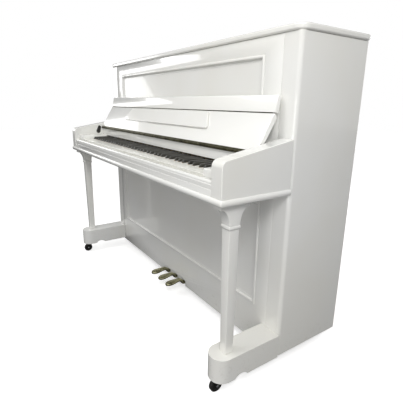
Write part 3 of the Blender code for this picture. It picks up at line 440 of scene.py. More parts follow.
FINISHES: dict[Look, Finish] = {
    Look.LACQUER: Lacquer("white_polyester_lacquer", "#f0f0ed", "#edece6", 0.16),
    Look.KEY_TOP: Moulded("white_key_plastic", "#f3f2ec", "#efeee6", 0.22),
    Look.SHARP: Moulded("black_key_phenolic", "#24231f", "#34322c", 0.34, relief=0.05 * MM),
    Look.BEECH: Timber("planed_beech", "#c49a67", "#a97c4b", 0.55, grain=Grain.ALONG_X),
    Look.SPRUCE: Timber("varnished_spruce", "#d9b176", "#b98849", 0.42, grain=Grain.ALONG_X,
                        turn=math.radians(-52), ring=2.5 * MM, pore=1.0 * MM, varnish=0.5),
    Look.BRASS: Metal("aged_brass", "#bab795", "#706d53", 0.27),
    Look.DULL_BRASS: Metal("dulled_brass", "#66634c", "#3b3929", 0.42),
    Look.GOLD_IRON: Cast("bronzed_cast_iron", "#b08d45", "#8f7238", 0.42),
    Look.BLACK_IRON: Cast("black_enamelled_iron", "#141414", "#26241f", 0.40, pebble=1.2 * MM,
                          metallic=0.2),
    Look.RUBBER: Pressed("black_moulded_rubber", "#131312", "#1e1d1b", 0.62, sheen=0.0,
                         relief=0.1 * MM),
    Look.WHITE_FELT: Pressed("white_hammer_felt", "#e9e3d2", "#d6cdb6", 0.95),
    Look.RED_FELT: Pressed("red_bushing_felt", "#7d1820", "#651119", 0.95),
    Look.MAPLE: Timber("action_maple", "#d8b98a", "#c29f6c", 0.5, grain=Grain.ALONG_Z,
                       ring=3 * MM),
    Look.STEEL: Wound("steel_wire", "#b9bbbd", "#8d9093", 0.3, ripple=0.05),
    Look.COPPER: Wound("copper_winding", "#b8693f", "#8f4c2c", 0.35),
}


# ---- shapes --------------------------------------------------------------------------------
def mesh_of(bm: bmesh.types.BMesh) -> Mesh:
    """Finish a bmesh: double points merged, normals turned outwards, faces smooth.

    Args:
        bm: The bmesh, which is freed.

    Returns:
        The mesh.
    """
    bmesh.ops.remove_doubles(bm, verts=bm.verts, dist=1e-6)
    bmesh.ops.recalc_face_normals(bm, faces=bm.faces)
    mesh = bpy.data.meshes.new("shape")
    bm.to_mesh(mesh)
    bm.free()
    return mesh


def skin(rings: Sequence[Sequence[Vector]], closed: bool = False) -> Mesh:
    """A closed body through rings of equally many points.

    Args:
        rings: The rings in order, each a closed loop.
        closed: Whether the last ring joins the first, which leaves out the end faces.

    Returns:
        The mesh.
    """
    bm = bmesh.new()
    rows = [[bm.verts.new(point) for point in ring] for ring in rings]
    pairs = list(zip(rows, rows[1:])) + ([(rows[-1], rows[0])] if closed else [])
    for first, second in pairs:
        for i in range(len(first)):
            j = (i + 1) % len(first)
            bm.faces.new((first[i], first[j], second[j], second[i]))
    if not closed:
        bm.faces.new(rows[0][::-1])
        bm.faces.new(rows[-1])
    return mesh_of(bm)


def prism(outline: Sequence[Pair], low: float, high: float, facing: Facing) -> Mesh:
    """A flat outline made thick.

    Args:
        outline: Its points in the plane.
        low: Where it starts along the plane's normal.
        high: Where it stops.
        facing: Which way the plane lies.

    Returns:
        The mesh.
    """
    return skin([[facing.value @ Vector((u, v, w)) for u, v in outline] for w in (low, high)])


def block(low: Sequence[float], high: Sequence[float]) -> Mesh:
    """A box between two corners."""
    (x0, y0, z0), (x1, y1, z1) = low, high
    return prism([(x0, y0), (x1, y0), (x1, y1), (x0, y1)], z0, z1, Facing.PLAN)


def turned(profile: Sequence[Pair], place: Matrix = UPRIGHT, steps: int = 24) -> Mesh:
    """A shape turned on a lathe about its own Z.

    Args:
        profile: (radius, height) from the bottom middle to the top middle.
        place: Where it goes.
        steps: How many faces round it.

    Returns:
        The mesh.
    """
    rings = []
    for radius, height in profile:
        angles = [2 * math.pi * i / steps for i in range(steps)]
        rings.append([place @ Vector((radius * math.cos(a), radius * math.sin(a), height))
                      for a in angles])
    return skin(rings)


def arc(u: float, v: float, radius: float, start: float, end: float, steps: int) -> list[Pair]:
    """Points on an arc, its angles in degrees."""
    angles = [math.radians(start + (end - start) * i / steps) for i in range(steps + 1)]
    return [(u + radius * math.cos(a), v + radius * math.sin(a)) for a in angles]


def round_box(half_u: float, half_v: float, radius: float, steps: int = 3) -> list[Pair]:
    """A rectangle with round corners, about its middle."""
    corners = ((1, 1, 0), (-1, 1, 90), (-1, -1, 180), (1, -1, 270))
    points: list[Pair] = []
    for u, v, start in corners:
        points += arc(u * (half_u - radius), v * (half_v - radius), radius,
                      start, start + 90, steps)
    return points


def joined(meshes: Sequence[Mesh]) -> Mesh:
    """Several meshes as one."""
    bm = bmesh.new()
    for mesh in meshes:
        bm.from_mesh(mesh)
    whole = bpy.data.meshes.new("shape")
    bm.to_mesh(whole)
    bm.free()
    return whole


def moved(mesh: Mesh, place: Matrix) -> Mesh:
    """A copy of a mesh, moved into place."""
    copy = mesh.copy()
    copy.transform(place)
    return copy


def mirrored(mesh: Mesh) -> Mesh:
    """A copy of a mesh turned over from the treble side to the bass side."""
    bm = bmesh.new()
    bm.from_mesh(mesh)
    bmesh.ops.scale(bm, vec=(-1, 1, 1), verts=bm.verts)
    bmesh.ops.reverse_faces(bm, faces=bm.faces)
    copy = bpy.data.meshes.new("shape")
    bm.to_mesh(copy)
    bm.free()
    return copy


def with_modifiers(mesh: Mesh, dress: Callable[[bpy.types.Object], None]) -> Mesh:
    """The mesh that modifiers turn this one into.

    Args:
        mesh: The mesh to start from.
        dress: Adds the modifiers to an object that holds it.

    Returns:
        The finished mesh.
    """
    holder = bpy.data.objects.new("holder", mesh)
    bpy.context.scene.collection.objects.link(holder)
    dress(holder)
    graph = bpy.context.evaluated_depsgraph_get()
    result = bpy.data.meshes.new_from_object(holder.evaluated_get(graph))
    bpy.data.objects.remove(holder)
    return result


def eased(mesh: Mesh, width: float, segments: int = 3, angle: float = 35.0) -> Mesh:
    """Round a mesh's edges and shade it smooth, with its flat faces kept flat.

    Args:
        mesh: The mesh.
        width: The radius of its edges in metres.
        segments: How many faces make the round.
        angle: Edges sharper than this are rounded, in degrees.

    Returns:
        The rounded mesh.
    """
    def dress(holder: bpy.types.Object) -> None:
        """Add the rounding to the holder."""
        mesh.shade_smooth()
        bevel = holder.modifiers.new("eased", "BEVEL")
        bevel.width = width
        bevel.segments = segments
        bevel.limit_method = "ANGLE"
        bevel.angle_limit = math.radians(angle)
        bevel.harden_normals = True
    return with_modifiers(mesh, dress)


def carved(mesh: Mesh, *cutters: Mesh) -> Mesh:
    """Cut shapes out of a mesh."""
    def dress(holder: bpy.types.Object) -> None:
        """Add a cut by each of the cutters."""
        for cutter in cutters:
            tool = bpy.data.objects.new("tool", cutter)
            cut = holder.modifiers.new("cut", "BOOLEAN")
            cut.operation = "DIFFERENCE"
            cut.object = tool
            tools.append(tool)

    tools: list[bpy.types.Object] = []
    result = with_modifiers(mesh, dress)
    for tool in tools:
        bpy.data.objects.remove(tool)
    return result


def copy_of(node: str) -> Mesh:
    """The merged mesh of a CAD node, with its flat faces whole again.

    Args:
        node: The node's name.

    Returns:
        The mesh.
    """
    bm = bmesh.new()
    bm.from_mesh(frame["nodes"][node].data)
    bmesh.ops.remove_doubles(bm, verts=bm.verts, dist=1e-5)
    bmesh.ops.dissolve_limit(bm, angle_limit=math.radians(0.5), verts=bm.verts, edges=bm.edges)
    mesh = bpy.data.meshes.new("shape")
    bm.to_mesh(mesh)
    bm.free()
    return mesh


# ---- Geometry Nodes ------------------------------------------------------------------------
def new_tree(name: str, sockets: dict[str, str]) -> tuple[bpy.types.GeometryNodeTree, Any]:
    """A geometry tree with named inputs.

    Args:
        name: The tree's name.
        sockets: The type of each input after the geometry, by name.

    Returns:
        The tree and its input node.
    """
    tree = bpy.data.node_groups.new(name, "GeometryNodeTree")
    tree.interface.new_socket("Geometry", in_out="INPUT", socket_type="NodeSocketGeometry")
    for socket, kind in sockets.items():
        tree.interface.new_socket(socket, in_out="INPUT", socket_type=kind)
    tree.interface.new_socket("Geometry", in_out="OUTPUT", socket_type="NodeSocketGeometry")
    return tree, add_node(tree, "NodeGroupInput").outputs


def copies_tree() -> bpy.types.GeometryNodeTree:
    """The tree that puts a small shape at each point, in the point's own size."""
    tree, given = new_tree("copies_at_points", {
        "Shape": "NodeSocketObject", "Turn": "NodeSocketVector", "Spin": "NodeSocketFloat",
        "Seed": "NodeSocketInt", "Material": "NodeSocketMaterial"})
    shape = add_node(tree, "GeometryNodeObjectInfo", {"Object": given["Shape"]})
    size = add_node(tree, "GeometryNodeInputNamedAttribute", {"Name": "size"}, data_type="FLOAT")
    placed = add_node(tree, "GeometryNodeInstanceOnPoints", {
        "Points": given["Geometry"], "Instance": shape.outputs["Geometry"],
        "Rotation": given["Turn"], "Scale": size.outputs[0]})
    back = add_node(tree, "ShaderNodeMath", {0: given["Spin"], 1: -1.0}, operation="MULTIPLY")
    chance = add_node(tree, "FunctionNodeRandomValue", {
        2: back.outputs[0], 3: given["Spin"], "Seed": given["Seed"]}, data_type="FLOAT")
    about = add_node(tree, "ShaderNodeCombineXYZ", {2: chance.outputs[1]})
    spun = add_node(tree, "GeometryNodeRotateInstances", {
        "Instances": placed.outputs[0], "Rotation": about.outputs[0], "Local Space": True})
    real = add_node(tree, "GeometryNodeRealizeInstances", {0: spun.outputs[0]})
    dressed = add_node(tree, "GeometryNodeSetMaterial", {
        "Geometry": real.outputs[0], "Material": given["Material"]})
    add_node(tree, "NodeGroupOutput", {0: dressed.outputs[0]})
    return tree


def wires_tree() -> bpy.types.GeometryNodeTree:
    """The tree that lays a round wire along each edge, in the edge's own thickness."""
    tree, given = new_tree("wires_along_edges", {
        "Sides": "NodeSocketInt", "Material": "NodeSocketMaterial"})
    path = add_node(tree, "GeometryNodeMeshToCurve", {0: given["Geometry"]})
    ring = add_node(tree, "GeometryNodeCurvePrimitiveCircle", {
        "Resolution": given["Sides"], "Radius": 1.0})
    size = add_node(tree, "GeometryNodeInputNamedAttribute", {"Name": "size"}, data_type="FLOAT")
    tube = add_node(tree, "GeometryNodeCurveToMesh", {
        "Curve": path.outputs[0], "Profile Curve": ring.outputs[0], "Scale": size.outputs[0],
        "Fill Caps": True})
    real = add_node(tree, "GeometryNodeRealizeInstances", {0: tube.outputs[0]})
    dressed = add_node(tree, "GeometryNodeSetMaterial", {
        "Geometry": real.outputs[0], "Material": given["Material"]})
    add_node(tree, "NodeGroupOutput", {0: dressed.outputs[0]})
    return tree


def grown(tree: bpy.types.GeometryNodeTree, points: Sequence[Vector], sizes: Sequence[float],
          edges: Sequence[tuple[int, int]], **values: Any) -> Mesh:
    """What a geometry tree makes of points, as a plain mesh.

    Args:
        tree: The tree.
        points: Where things go.
        sizes: The size at each point.
        edges: Pairs of points that are joined.
        **values: The tree's inputs by name.

    Returns:
        The mesh.
    """
    cloud = bpy.data.meshes.new("points")
    cloud.from_pydata([tuple(point) for point in points], edges, [])
    attribute = cloud.attributes.new("size", "FLOAT", "POINT")
    attribute.data.foreach_set("value", list(sizes))

    def dress(holder: bpy.types.Object) -> None:
        """Add the tree with its inputs."""
        modifier = holder.modifiers.new(tree.name, "NODES")
        modifier.node_group = tree
        for item in tree.interface.items_tree:
            if item.item_type == "SOCKET" and item.in_out == "INPUT" and item.name in values:
                modifier[item.identifier] = values[item.name]
    return with_modifiers(cloud, dress)


def smooth(mesh: Mesh, angle: float) -> Mesh:
    """Shade a mesh smooth, apart from edges sharper than an angle in degrees."""
    mesh.shade_smooth()
    mesh.set_sharp_from_angle(angle=math.radians(angle))
    return mesh


def joint_at(name: str) -> Vector:
    """Where a joint of the frame stands."""
    return Vector(next(joint["pos_m"] for joint in frame["joints"] if joint["name"] == name))


def screw_head(radius: float) -> Mesh:
    """A slotted round-head screw, about Z, with its seat at the origin."""
    profile = [(0, -0.3 * radius), (radius, -0.3 * radius), (radius, 0),
               (0.8 * radius, 0.3 * radius), (0, 0.42 * radius)]
    head = turned(profile, steps=12)
    slot = block((-1.2 * radius, -0.12 * radius, 0.1 * radius),
                 (1.2 * radius, 0.12 * radius, radius))
    return carved(head, slot)


@dataclass
class SubAssembly:
    """What every sub-assembly has.

    Attributes:
        looks: The finished materials.
        trees: The geometry trees.
        made: Names of the pieces it has made.
    """

    looks: dict[Look, Material]
    trees: dict[str, bpy.types.GeometryNodeTree]
    made: list[str] = field(default_factory=list)

    def add(self, name: str, mesh: Mesh, look: Look, body: str, *stands_for: str) -> None:
        """Put a finished mesh into the piano.

        Args:
            name: The piece's name.
            mesh: Its mesh, in the frame's coordinates.
            look: Its finish.
            body: The body that it moves with.
            *stands_for: CAD nodes that it replaces.
        """
        mesh.materials.clear()
        mesh.materials.append(self.looks[look])
        mesh.polygons.foreach_set("material_index", [0] * len(mesh.polygons))
        piece = bpy.data.objects.new(name, mesh)
        bpy.context.scene.collection.objects.link(piece)
        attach(piece, body)
        if stands_for:
            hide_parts(*stands_for)
        self.made.append(name)

    def copies(self, shape: Mesh, points: Sequence[Vector], look: Look,
               turn: tuple[float, float, float] = (0.0, 0.0, 0.0), spin: float = 0.0,
               sizes: Sequence[float] = ()) -> Mesh:
        """Copies of one small shape at many points, by Geometry Nodes.

        Args:
            shape: The shape, about the origin.
            points: Where the copies go.
            look: Their finish.
            turn: How the shape is turned, as Euler angles.
            spin: How far each copy may turn about its own Z at random.
            sizes: Each copy's scale, 1 where left out.

        Returns:
            The copies as one mesh.
        """
        model = bpy.data.objects.new("model", shape)
        mesh = grown(self.trees["copies"], points, sizes or [1.0] * len(points), [],
                     Shape=model, Turn=turn, Spin=spin, Seed=7, Material=self.looks[look])
        bpy.data.objects.remove(model)
        return mesh

    def add_copies(self, name: str, shape: Mesh, points: Sequence[Vector], look: Look, body: str,
                   *stands_for: str, **how: Any) -> None:
        """Put copies of one small shape into the piano as one piece: see add and copies."""
        self.add(name, self.copies(shape, points, look, **how), look, body, *stands_for)

    def rounded(self, node: str, ending: str, look: Look, width: float, segments: int = 2,
                body: str = "case", angle: float = 35.0) -> None:
        """Put a CAD node's own shape into the piano, with its edges rounded.

        Args:
            node: The node, which the piece replaces.
            ending: What the piece's name has after the node's.
            look: Its finish.
            width: The radius of its edges in metres.
            segments: How many faces make the round.
            body: The body that it moves with.
            angle: Edges sharper than this are rounded, in degrees.
        """
        self.add(f"{node}_{ending}", eased(copy_of(node), width, segments, angle), look, body,
                 node)

    def wires(self, ends: Sequence[tuple[Vector, Vector]], radii: Sequence[float],
              look: Look, sides: int = 6) -> Mesh:
        """Straight round wires, by Geometry Nodes.

        Args:
            ends: Both ends of each wire.
            radii: Each wire's radius.
            look: Their finish.
            sides: How many faces round each.

        Returns:
            The wires as one mesh.
        """
        points = [point for pair in ends for point in pair]
        sizes = [radius for radius in radii for _ in range(2)]
        edges = [(2 * i, 2 * i + 1) for i in range(len(ends))]
        return grown(self.trees["wires"], points, sizes, edges, Sides=sides,
                     Material=self.looks[look])

    def report(self) -> None:
        """Say what was made."""
        LOG.info("%s: %s", type(self).__name__, ", ".join(self.made))


# ---- case ----------------------------------------------------------------------------------
@dataclass
class Case(SubAssembly):
    """Sides, panels, lid, keybed and the woodwork beside the keys.

    Attributes:
        corner: Radius of a side's outer front edge.
        side_thick: Thickness of a side behind its stile.
        stile_depth: Depth of a side's thick front edge.
        ease: Radius of the small edges.
        bead_radius: Radius of the round bead that frames a panel's field.
        cove_width: Width of the hollow between bead and field.
        arm_corner: Radius of an arm's front top corner.
        lid_radius: Radius of the lid's front corners.
        lid_edge: Radius of the lid's edges.
        upper_margins: Width of the upper panel's frame at its sides, foot and head.
        lower_margins: Width of the lower panel's frame at its sides, foot and head.
        screw_depth: How deep the row of keybed screws is taken to be.
    """

    corner: float = 14 * MM
    side_thick: float = 30 * MM
    stile_depth: float = 30 * MM
    ease: float = 1.2 * MM
    bead_radius: float = 5.4 * MM
    cove_width: float = 9 * MM
    arm_corner: float = 22 * MM
    lid_radius: float = 35 * MM
    lid_edge: float = 7 * MM
    upper_margins: tuple[float, float, float] = (77 * MM, 60 * MM, 52 * MM)
    lower_margins: tuple[float, float, float] = (62 * MM, 155 * MM, 50 * MM)
    screw_depth: float = 0.26

    def build(self) -> None:
        """Make every piece of the case."""
        self.sides()
        self.panel("upper_panel", self.upper_margins)
        self.panel("lower_panel", self.lower_margins)
        self.lid()
        self.moulding()
        self.arms()
        self.keybed_woodwork()
        self.screws()

    def sides(self) -> None:
        """The case ends, with a large round on their outer front edge."""
        low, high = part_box("side_right")
        outline = [(low.x, low.y)]
        outline += arc(high.x - self.corner, low.y + self.corner, self.corner, -90, 0, 12)
        outline += [(high.x, high.y), (high.x - self.side_thick, high.y),
                    (high.x - self.side_thick, low.y + self.stile_depth),
                    (low.x, low.y + self.stile_depth)]
        right = eased(prism(outline, low.z, high.z, Facing.PLAN), self.ease)
        self.add("side_right_lacquered", right, Look.LACQUER, "case", "side_right")
        self.add("side_left_lacquered", mirrored(right), Look.LACQUER, "case", "side_left")

    def panel(self, node: str, margins: tuple[float, float, float]) -> None:
        """A panel with its sunk field, and the bead that frames the field.

        Args:
            node: The panel's CAD node.
            margins: Width of the frame at its sides, foot and head.
        """
        low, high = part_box(node)
        beside, foot, head = margins
        self.rounded(node, "lacquered", Look.LACQUER, self.ease, 3)
        depth = 6 * MM
        radius, cove = self.bead_radius, self.cove_width
        profile = [(0.0, depth)]
        profile += [(radius * (1 - math.cos(a)), -radius * 0.75 * math.sin(a))
                    for a in (HALF_TURN * i / 10 for i in range(11))]
        profile += [(2 * radius + cove * (1 - math.cos(a)), (depth - 0.6 * MM) * math.sin(a))
                    for a in (QUARTER_TURN * i / 6 for i in range(1, 7))]
        profile += [(2 * radius + cove, depth)]
        corners = ((low.x + beside, low.z + foot, 1, 1), (high.x - beside, low.z + foot, -1, 1),
                   (high.x - beside, high.z - head, -1, -1), (low.x + beside, high.z - head, 1, -1))
        rings = [[Vector((x + u * right, low.y + v, z + u * up)) for u, v in profile]
                 for x, z, right, up in corners]
        self.add(f"{node}_bead", smooth(skin(rings, closed=True), 40), Look.LACQUER, "case")

    def lid(self) -> None:
        """The top lid with round front corners and a bullnose edge, and its long hinge."""
        low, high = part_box("top_lid")
        r = self.lid_radius
        outline = arc(low.x + r, low.y + r, r, 180, 270, 12)
        outline += arc(high.x - r, low.y + r, r, 270, 360, 12)
        outline += [(high.x, high.y), (low.x, high.y)]
        mesh = eased(prism(outline, low.z, high.z, Facing.PLAN), self.lid_edge, 6)
        self.add("top_lid_lacquered", mesh, Look.LACQUER, "lid", "top_lid")
        radius = 2.2 * MM
        span, pitch = high.x - 60 * MM, 44 * MM
        count = int(2 * span / pitch)
        knuckle = turned([(0, -pitch / 2 + 0.3 * MM), (radius, -pitch / 2 + 0.3 * MM),
                          (radius, pitch / 2 - 0.3 * MM), (0, pitch / 2 - 0.3 * MM)],
                         ACROSS, 12)
        places = [Vector(((i - (count - 1) / 2) * pitch, high.y - radius, low.z)) for i in
                  range(count)]
        leaf = block((-span, high.y - 16 * MM, low.z - 0.25 * MM),
                     (span, high.y - radius, low.z - 0.05 * MM))
        fixed = self.copies(knuckle, places[::2], Look.BRASS)
        self.add("lid_hinge_fixed_half", joined([leaf, fixed]), Look.BRASS, "case")
        self.add_copies("lid_hinge_moving_half", knuckle, places[1::2], Look.BRASS, "lid")

    def moulding(self) -> None:
        """The bullnose that wraps the front and both arms at keybed height."""
        low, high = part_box("keybed_moulding")
        arm_low, arm_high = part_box("arm_right")
        x, y = arm_high.x + CAD_GAP, arm_low.y - CAD_GAP
        proud = high.x - x
        half = (high.z - low.z) / 2
        middle = (high.z + low.z) / 2
        nose = [(proud * math.cos(a), half * math.sin(a) ** 3 * 0.15 + half * 0.85 * math.sin(a))
                for a in (HALF_TURN * (i / 12 - 0.5) for i in range(13))]
        ways = [(-x, high.y, 180.0), (-x, y, 180.0), (-x, y, 202.5), (-x, y, 225.0),
                (-x, y, 247.5), (-x, y, 270.0), (x, y, 270.0), (x, y, 292.5), (x, y, 315.0),
                (x, y, 337.5), (x, y, 360.0), (x, high.y, 360.0)]
        rings = []
        for px, py, degrees in ways:
            a = math.radians(degrees)
            rings.append([Vector((px + u * math.cos(a), py + u * math.sin(a), middle + v))
                          for u, v in nose])
        mesh = smooth(skin(rings), 50)
        self.add("keybed_moulding_lacquered", mesh, Look.LACQUER, "case", "keybed_moulding")

    def arms(self) -> None:
        """The arms beside the keys, round at their front top corner."""
        low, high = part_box("arm_right")
        r = self.arm_corner
        front_height = 130 * MM
        outline = [(low.y, low.z)]
        outline += arc(low.y + r, low.z + front_height - r, r, 180, 96, 10)
        outline += [(high.y, high.z), (high.y, low.z)]
        arm = eased(prism(outline, low.x, high.x, Facing.SIDE), 2.5 * MM, 4)
        self.add("arm_right_lacquered", arm, Look.LACQUER, "case", "arm_right")
        self.add("arm_left_lacquered", mirrored(arm), Look.LACQUER, "case", "arm_left")

    def keybed_woodwork(self) -> None:
        """Keybed, key slip, key blocks and nameboard."""
        for node in ("keybed", "key_block_left", "key_block_right", "nameboard"):
            width = 2 * MM if "block" in node else self.ease
            self.rounded(node, "lacquered", Look.LACQUER, width, 3)
        low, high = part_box("key_slip")
        front, top = low.y, high.z
        outline = [(high.y, low.z), (front, low.z), (front, top - 11 * MM)]
        outline += [(front + 1.6 * MM, top - 10 * MM), (front + 1.6 * MM, top - 8.6 * MM)]
        outline += arc(front + 1.6 * MM + 6 * MM, top - 6 * MM, 6 * MM, 180, 90, 6)
        outline += [(high.y - 3 * MM, top)] + arc(high.y - 3 * MM, top - 3 * MM, 3 * MM, 60, 0, 3)
        slip = smooth(prism(outline, low.x, high.x, Facing.SIDE), 32)
        self.add("key_slip_lacquered", slip, Look.LACQUER, "case", "key_slip")
        name_low, name_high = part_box("nameboard")
        felt = block((name_low.x + 80 * MM, name_low.y + 7 * MM, name_low.z - 1.6 * MM),
                     (name_high.x - 80 * MM, name_low.y + 13 * MM, name_low.z - CAD_GAP))
        self.add("nameboard_felt", eased(felt, 0.5 * MM, 2), Look.WHITE_FELT, "case")

    def screws(self) -> None:
        """Screws that hold the keybed under the arms and the lower panel's spring catch."""
        low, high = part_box("keybed")
        head = screw_head(4 * MM)
        places = [Vector((side * (high.x - 25 * MM), low.y + share * self.screw_depth, low.z))
                  for _, side in SIDES for share in (0.35, 0.9)]
        self.add_copies("keybed_screws", head, places, Look.BRASS, "case", turn=UNDER, spin=1.5)
        panel_low, panel_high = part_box("lower_panel")
        spring = [(0.0, 0.0), (0.0, 2 * MM), (60 * MM, 4 * MM), (70 * MM, 1 * MM),
                  (70 * MM, 0.0), (60 * MM, 2.6 * MM)]
        catch = prism([(u - 35 * MM, low.z - 4.4 * MM + v) for u, v in spring],
                      panel_low.y + 4 * MM, panel_high.y - 3 * MM, Facing.FRONT)
        self.add("lower_panel_catch", catch, Look.BRASS, "case")


# ---- keyboard ------------------------------------------------------------------------------
@dataclass
class Keyboard(SubAssembly):
    """Eighty-eight keys on their frame: the middle octave key by key, the rest as two sets.

    Attributes:
        pitch: Width of a white key with its gap.
        gap: Space between keys.
        cover: Thickness of a white key's plastic cover.
        head: Length of a white key's wide front.
        sharp_width: Width of a sharp at its foot.
        sharp_height: How far a sharp stands above the white keys.
        sharp_slope: How far its front slopes back on the way up.
        shifts: How far a sharp is off the line between its whites, by semitone above C.
        lowest: The lowest note, numbered so that 60 is middle C.
        middle_c: Middle C.
        highest: The highest note.
        names: The keys of the middle octave, which move one by one.
    """

    pitch: float = 23.5 * MM
    gap: float = 1.0 * MM
    cover: float = 2.4 * MM
    head: float = 50 * MM
    sharp_width: float = 9.5 * MM
    sharp_height: float = 11.8 * MM
    sharp_slope: float = 6 * MM
    shifts: dict[int, float] = field(default_factory=lambda: {
        1: -3 * MM, 3: 3 * MM, 6: -4 * MM, 8: 0.0, 10: 4 * MM})
    lowest: int = 21
    middle_c: int = 60
    highest: int = 108
    names: tuple[str, ...] = ("c4", "c4_sharp", "d4", "d4_sharp", "e4", "f4", "f4_sharp",
                              "g4", "g4_sharp", "a4", "a4_sharp", "b4")

    def __post_init__(self) -> None:
        """Read the keyboard's place from the frame."""
        low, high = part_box("key_c4")
        self.front, self.rear = low.y, high.y
        self.bottom, self.top = low.z, high.z
        self.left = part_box("keys_bass")[0].x - self.gap / 2
        self.slot_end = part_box("nameboard")[0].y + 16 * MM

    def build(self) -> None:
        """Make the keys and their frame."""
        sets = [("bass", "keys_bass", "bass_keys", range(self.lowest, self.middle_c)),
                ("treble", "keys_treble", "treble_keys",
                 range(self.middle_c + len(self.names), self.highest + 1))]
        for word, node, body, notes in sets:
            whites = [note for note in notes if not self.is_sharp(note)]
            sharps = [note for note in notes if self.is_sharp(note)]
            self.add(f"{word}_white_covers", joined([self.white_cover(n) for n in whites]),
                     Look.KEY_TOP, body, node)
            self.add(f"{word}_sharps", joined([self.sharp_cap(n) for n in sharps]),
                     Look.SHARP, body)
            self.add(f"{word}_key_sticks", joined([self.stick(n) for n in notes]),
                     Look.MAPLE, body)
        for step, name in enumerate(self.names):
            note, body = self.middle_c + step, f"key_{name}"
            if self.is_sharp(note):
                self.add(f"{name}_cap", self.sharp_cap(note), Look.SHARP, body, body)
            else:
                self.add(f"{name}_cover", self.white_cover(note), Look.KEY_TOP, body, body)
            self.add(f"{name}_stick", self.stick(note), Look.MAPLE, body)
        self.key_frame()

    def is_sharp(self, note: int) -> bool:
        """Whether a note is a sharp."""
        return note % 12 in self.shifts

    def span(self, note: int) -> Pair:
        """Low and high X of a white key's head or of a sharp."""
        whites = sum(not self.is_sharp(n) for n in range(self.lowest, note))
        edge = self.left + whites * self.pitch
        if not self.is_sharp(note):
            return edge + self.gap / 2, edge + self.pitch - self.gap / 2
        middle = edge + self.shifts[note % 12]
        return middle - 5 * MM, middle + 5 * MM

    def tail(self, note: int) -> Pair:
        """Low and high X of a key between its neighbours' sharps."""
        low, high = self.span(note)
        if self.is_sharp(note):
            return low, high
        if note > self.lowest and self.is_sharp(note - 1):
            low = self.span(note - 1)[1] + self.gap
        if note < self.highest and self.is_sharp(note + 1):
            high = self.span(note + 1)[0] - self.gap
        return low, high

    def white_plan(self, note: int, front: float, rear: float) -> list[Pair]:
        """Plan of a white key from its front to a line behind."""
        low, high = self.span(note)
        tail_low, tail_high = self.tail(note)
        shoulder = self.front + self.head
        plan = [(low, front), (high, front)]
        if tail_high < high:
            plan += [(high, shoulder), (tail_high, shoulder)]
        plan += [(tail_high, rear), (tail_low, rear)]
        if tail_low > low:
            plan += [(tail_low, shoulder), (low, shoulder)]
        return plan

    def white_cover(self, note: int) -> Mesh:
        """A white key's cover: the top plate and the front, with round edges."""
        low, high = self.span(note)
        plate = prism(self.white_plan(note, self.front, self.slot_end), self.top - self.cover,
                      self.top, Facing.PLAN)
        front = block((low + 0.2 * MM, self.front + 1 * MM, self.bottom + 0.5 * MM),
                      (high - 0.2 * MM, self.front + 3 * MM, self.top - self.cover / 2))
        return joined([eased(plate, 0.7 * MM, 3), eased(front, 0.5 * MM, 2)])

    def stick(self, note: int) -> Mesh:
        """A key's wooden body, which runs back under the nameboard."""
        tail_low, tail_high = self.tail(note)
        rear_low = tail_low if note != self.lowest else self.span(note)[0]
        if self.is_sharp(note):
            start, top = self.front + self.head + self.gap, self.top
            plan = [(tail_low, start), (tail_high, start), (tail_high, self.rear),
                    (rear_low, self.rear)]
        else:
            start, top = self.front + 3 * MM, self.top - (self.cover + 0.1 * MM)
            plan = [(u, max(v, start)) for u, v in self.white_plan(note, start, self.rear)]
        return eased(prism(plan, self.bottom, top, Facing.PLAN), 0.5 * MM, 1)

    def sharp_cap(self, note: int) -> Mesh:
        """A sharp's cap: narrower at its top, with a sloping front and round edges."""
        low, high = self.span(note)
        middle, half = (low + high) / 2, self.sharp_width / 2
        front = self.front + self.head + 2 * MM
        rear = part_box("nameboard")[0].y + 6 * MM
        crown = self.top + self.sharp_height
        rings = []
        levels = ((self.top - 4 * MM, 0.0, 0.0), (self.top, 0.05, 0.0),
                  (crown - 1.8 * MM, 0.75, 0.0), (crown - 0.7 * MM, 0.92, 0.5 * MM),
                  (crown - 0.15 * MM, 1.0, 1.1 * MM), (crown, 1.05, 1.9 * MM))
        for z, share, inset in levels:
            half_x = half - 1.0 * MM * min(share, 1) - inset
            y0 = front + self.sharp_slope * share + inset
            half_y = (rear - inset - y0) / 2
            ring = round_box(half_x, half_y, 1.4 * MM, 3)
            rings.append([Vector((middle + u, y0 + half_y + v, z)) for u, v in ring])
        return smooth(skin(rings), 60)

    def key_frame(self) -> None:
        """The rails under the keys, their pins and the felt under the fronts."""
        self.rounded("key_frame", "planed", Look.BEECH, 0.8 * MM)
        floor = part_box("key_frame")[0].z
        pin = turned([(0, 0), (1.6 * MM, 0), (1.6 * MM, 3.2 * MM), (0.9 * MM, 4 * MM),
                      (0, 4 * MM)], steps=8)
        punching = turned([(0, 0), (6 * MM, 0), (6 * MM, 1 * MM), (0, 1 * MM)], steps=12)
        places = []
        for note in range(self.lowest, self.highest + 1):
            low, high = self.span(note)
            at = self.front + (25 * MM if not self.is_sharp(note) else 62 * MM)
            places.append(Vector(((low + high) / 2, at, floor)))
        self.add_copies("front_rail_pins", pin, places, Look.STEEL, "case")
        self.add_copies("front_rail_punchings", punching, places, Look.RED_FELT, "case")


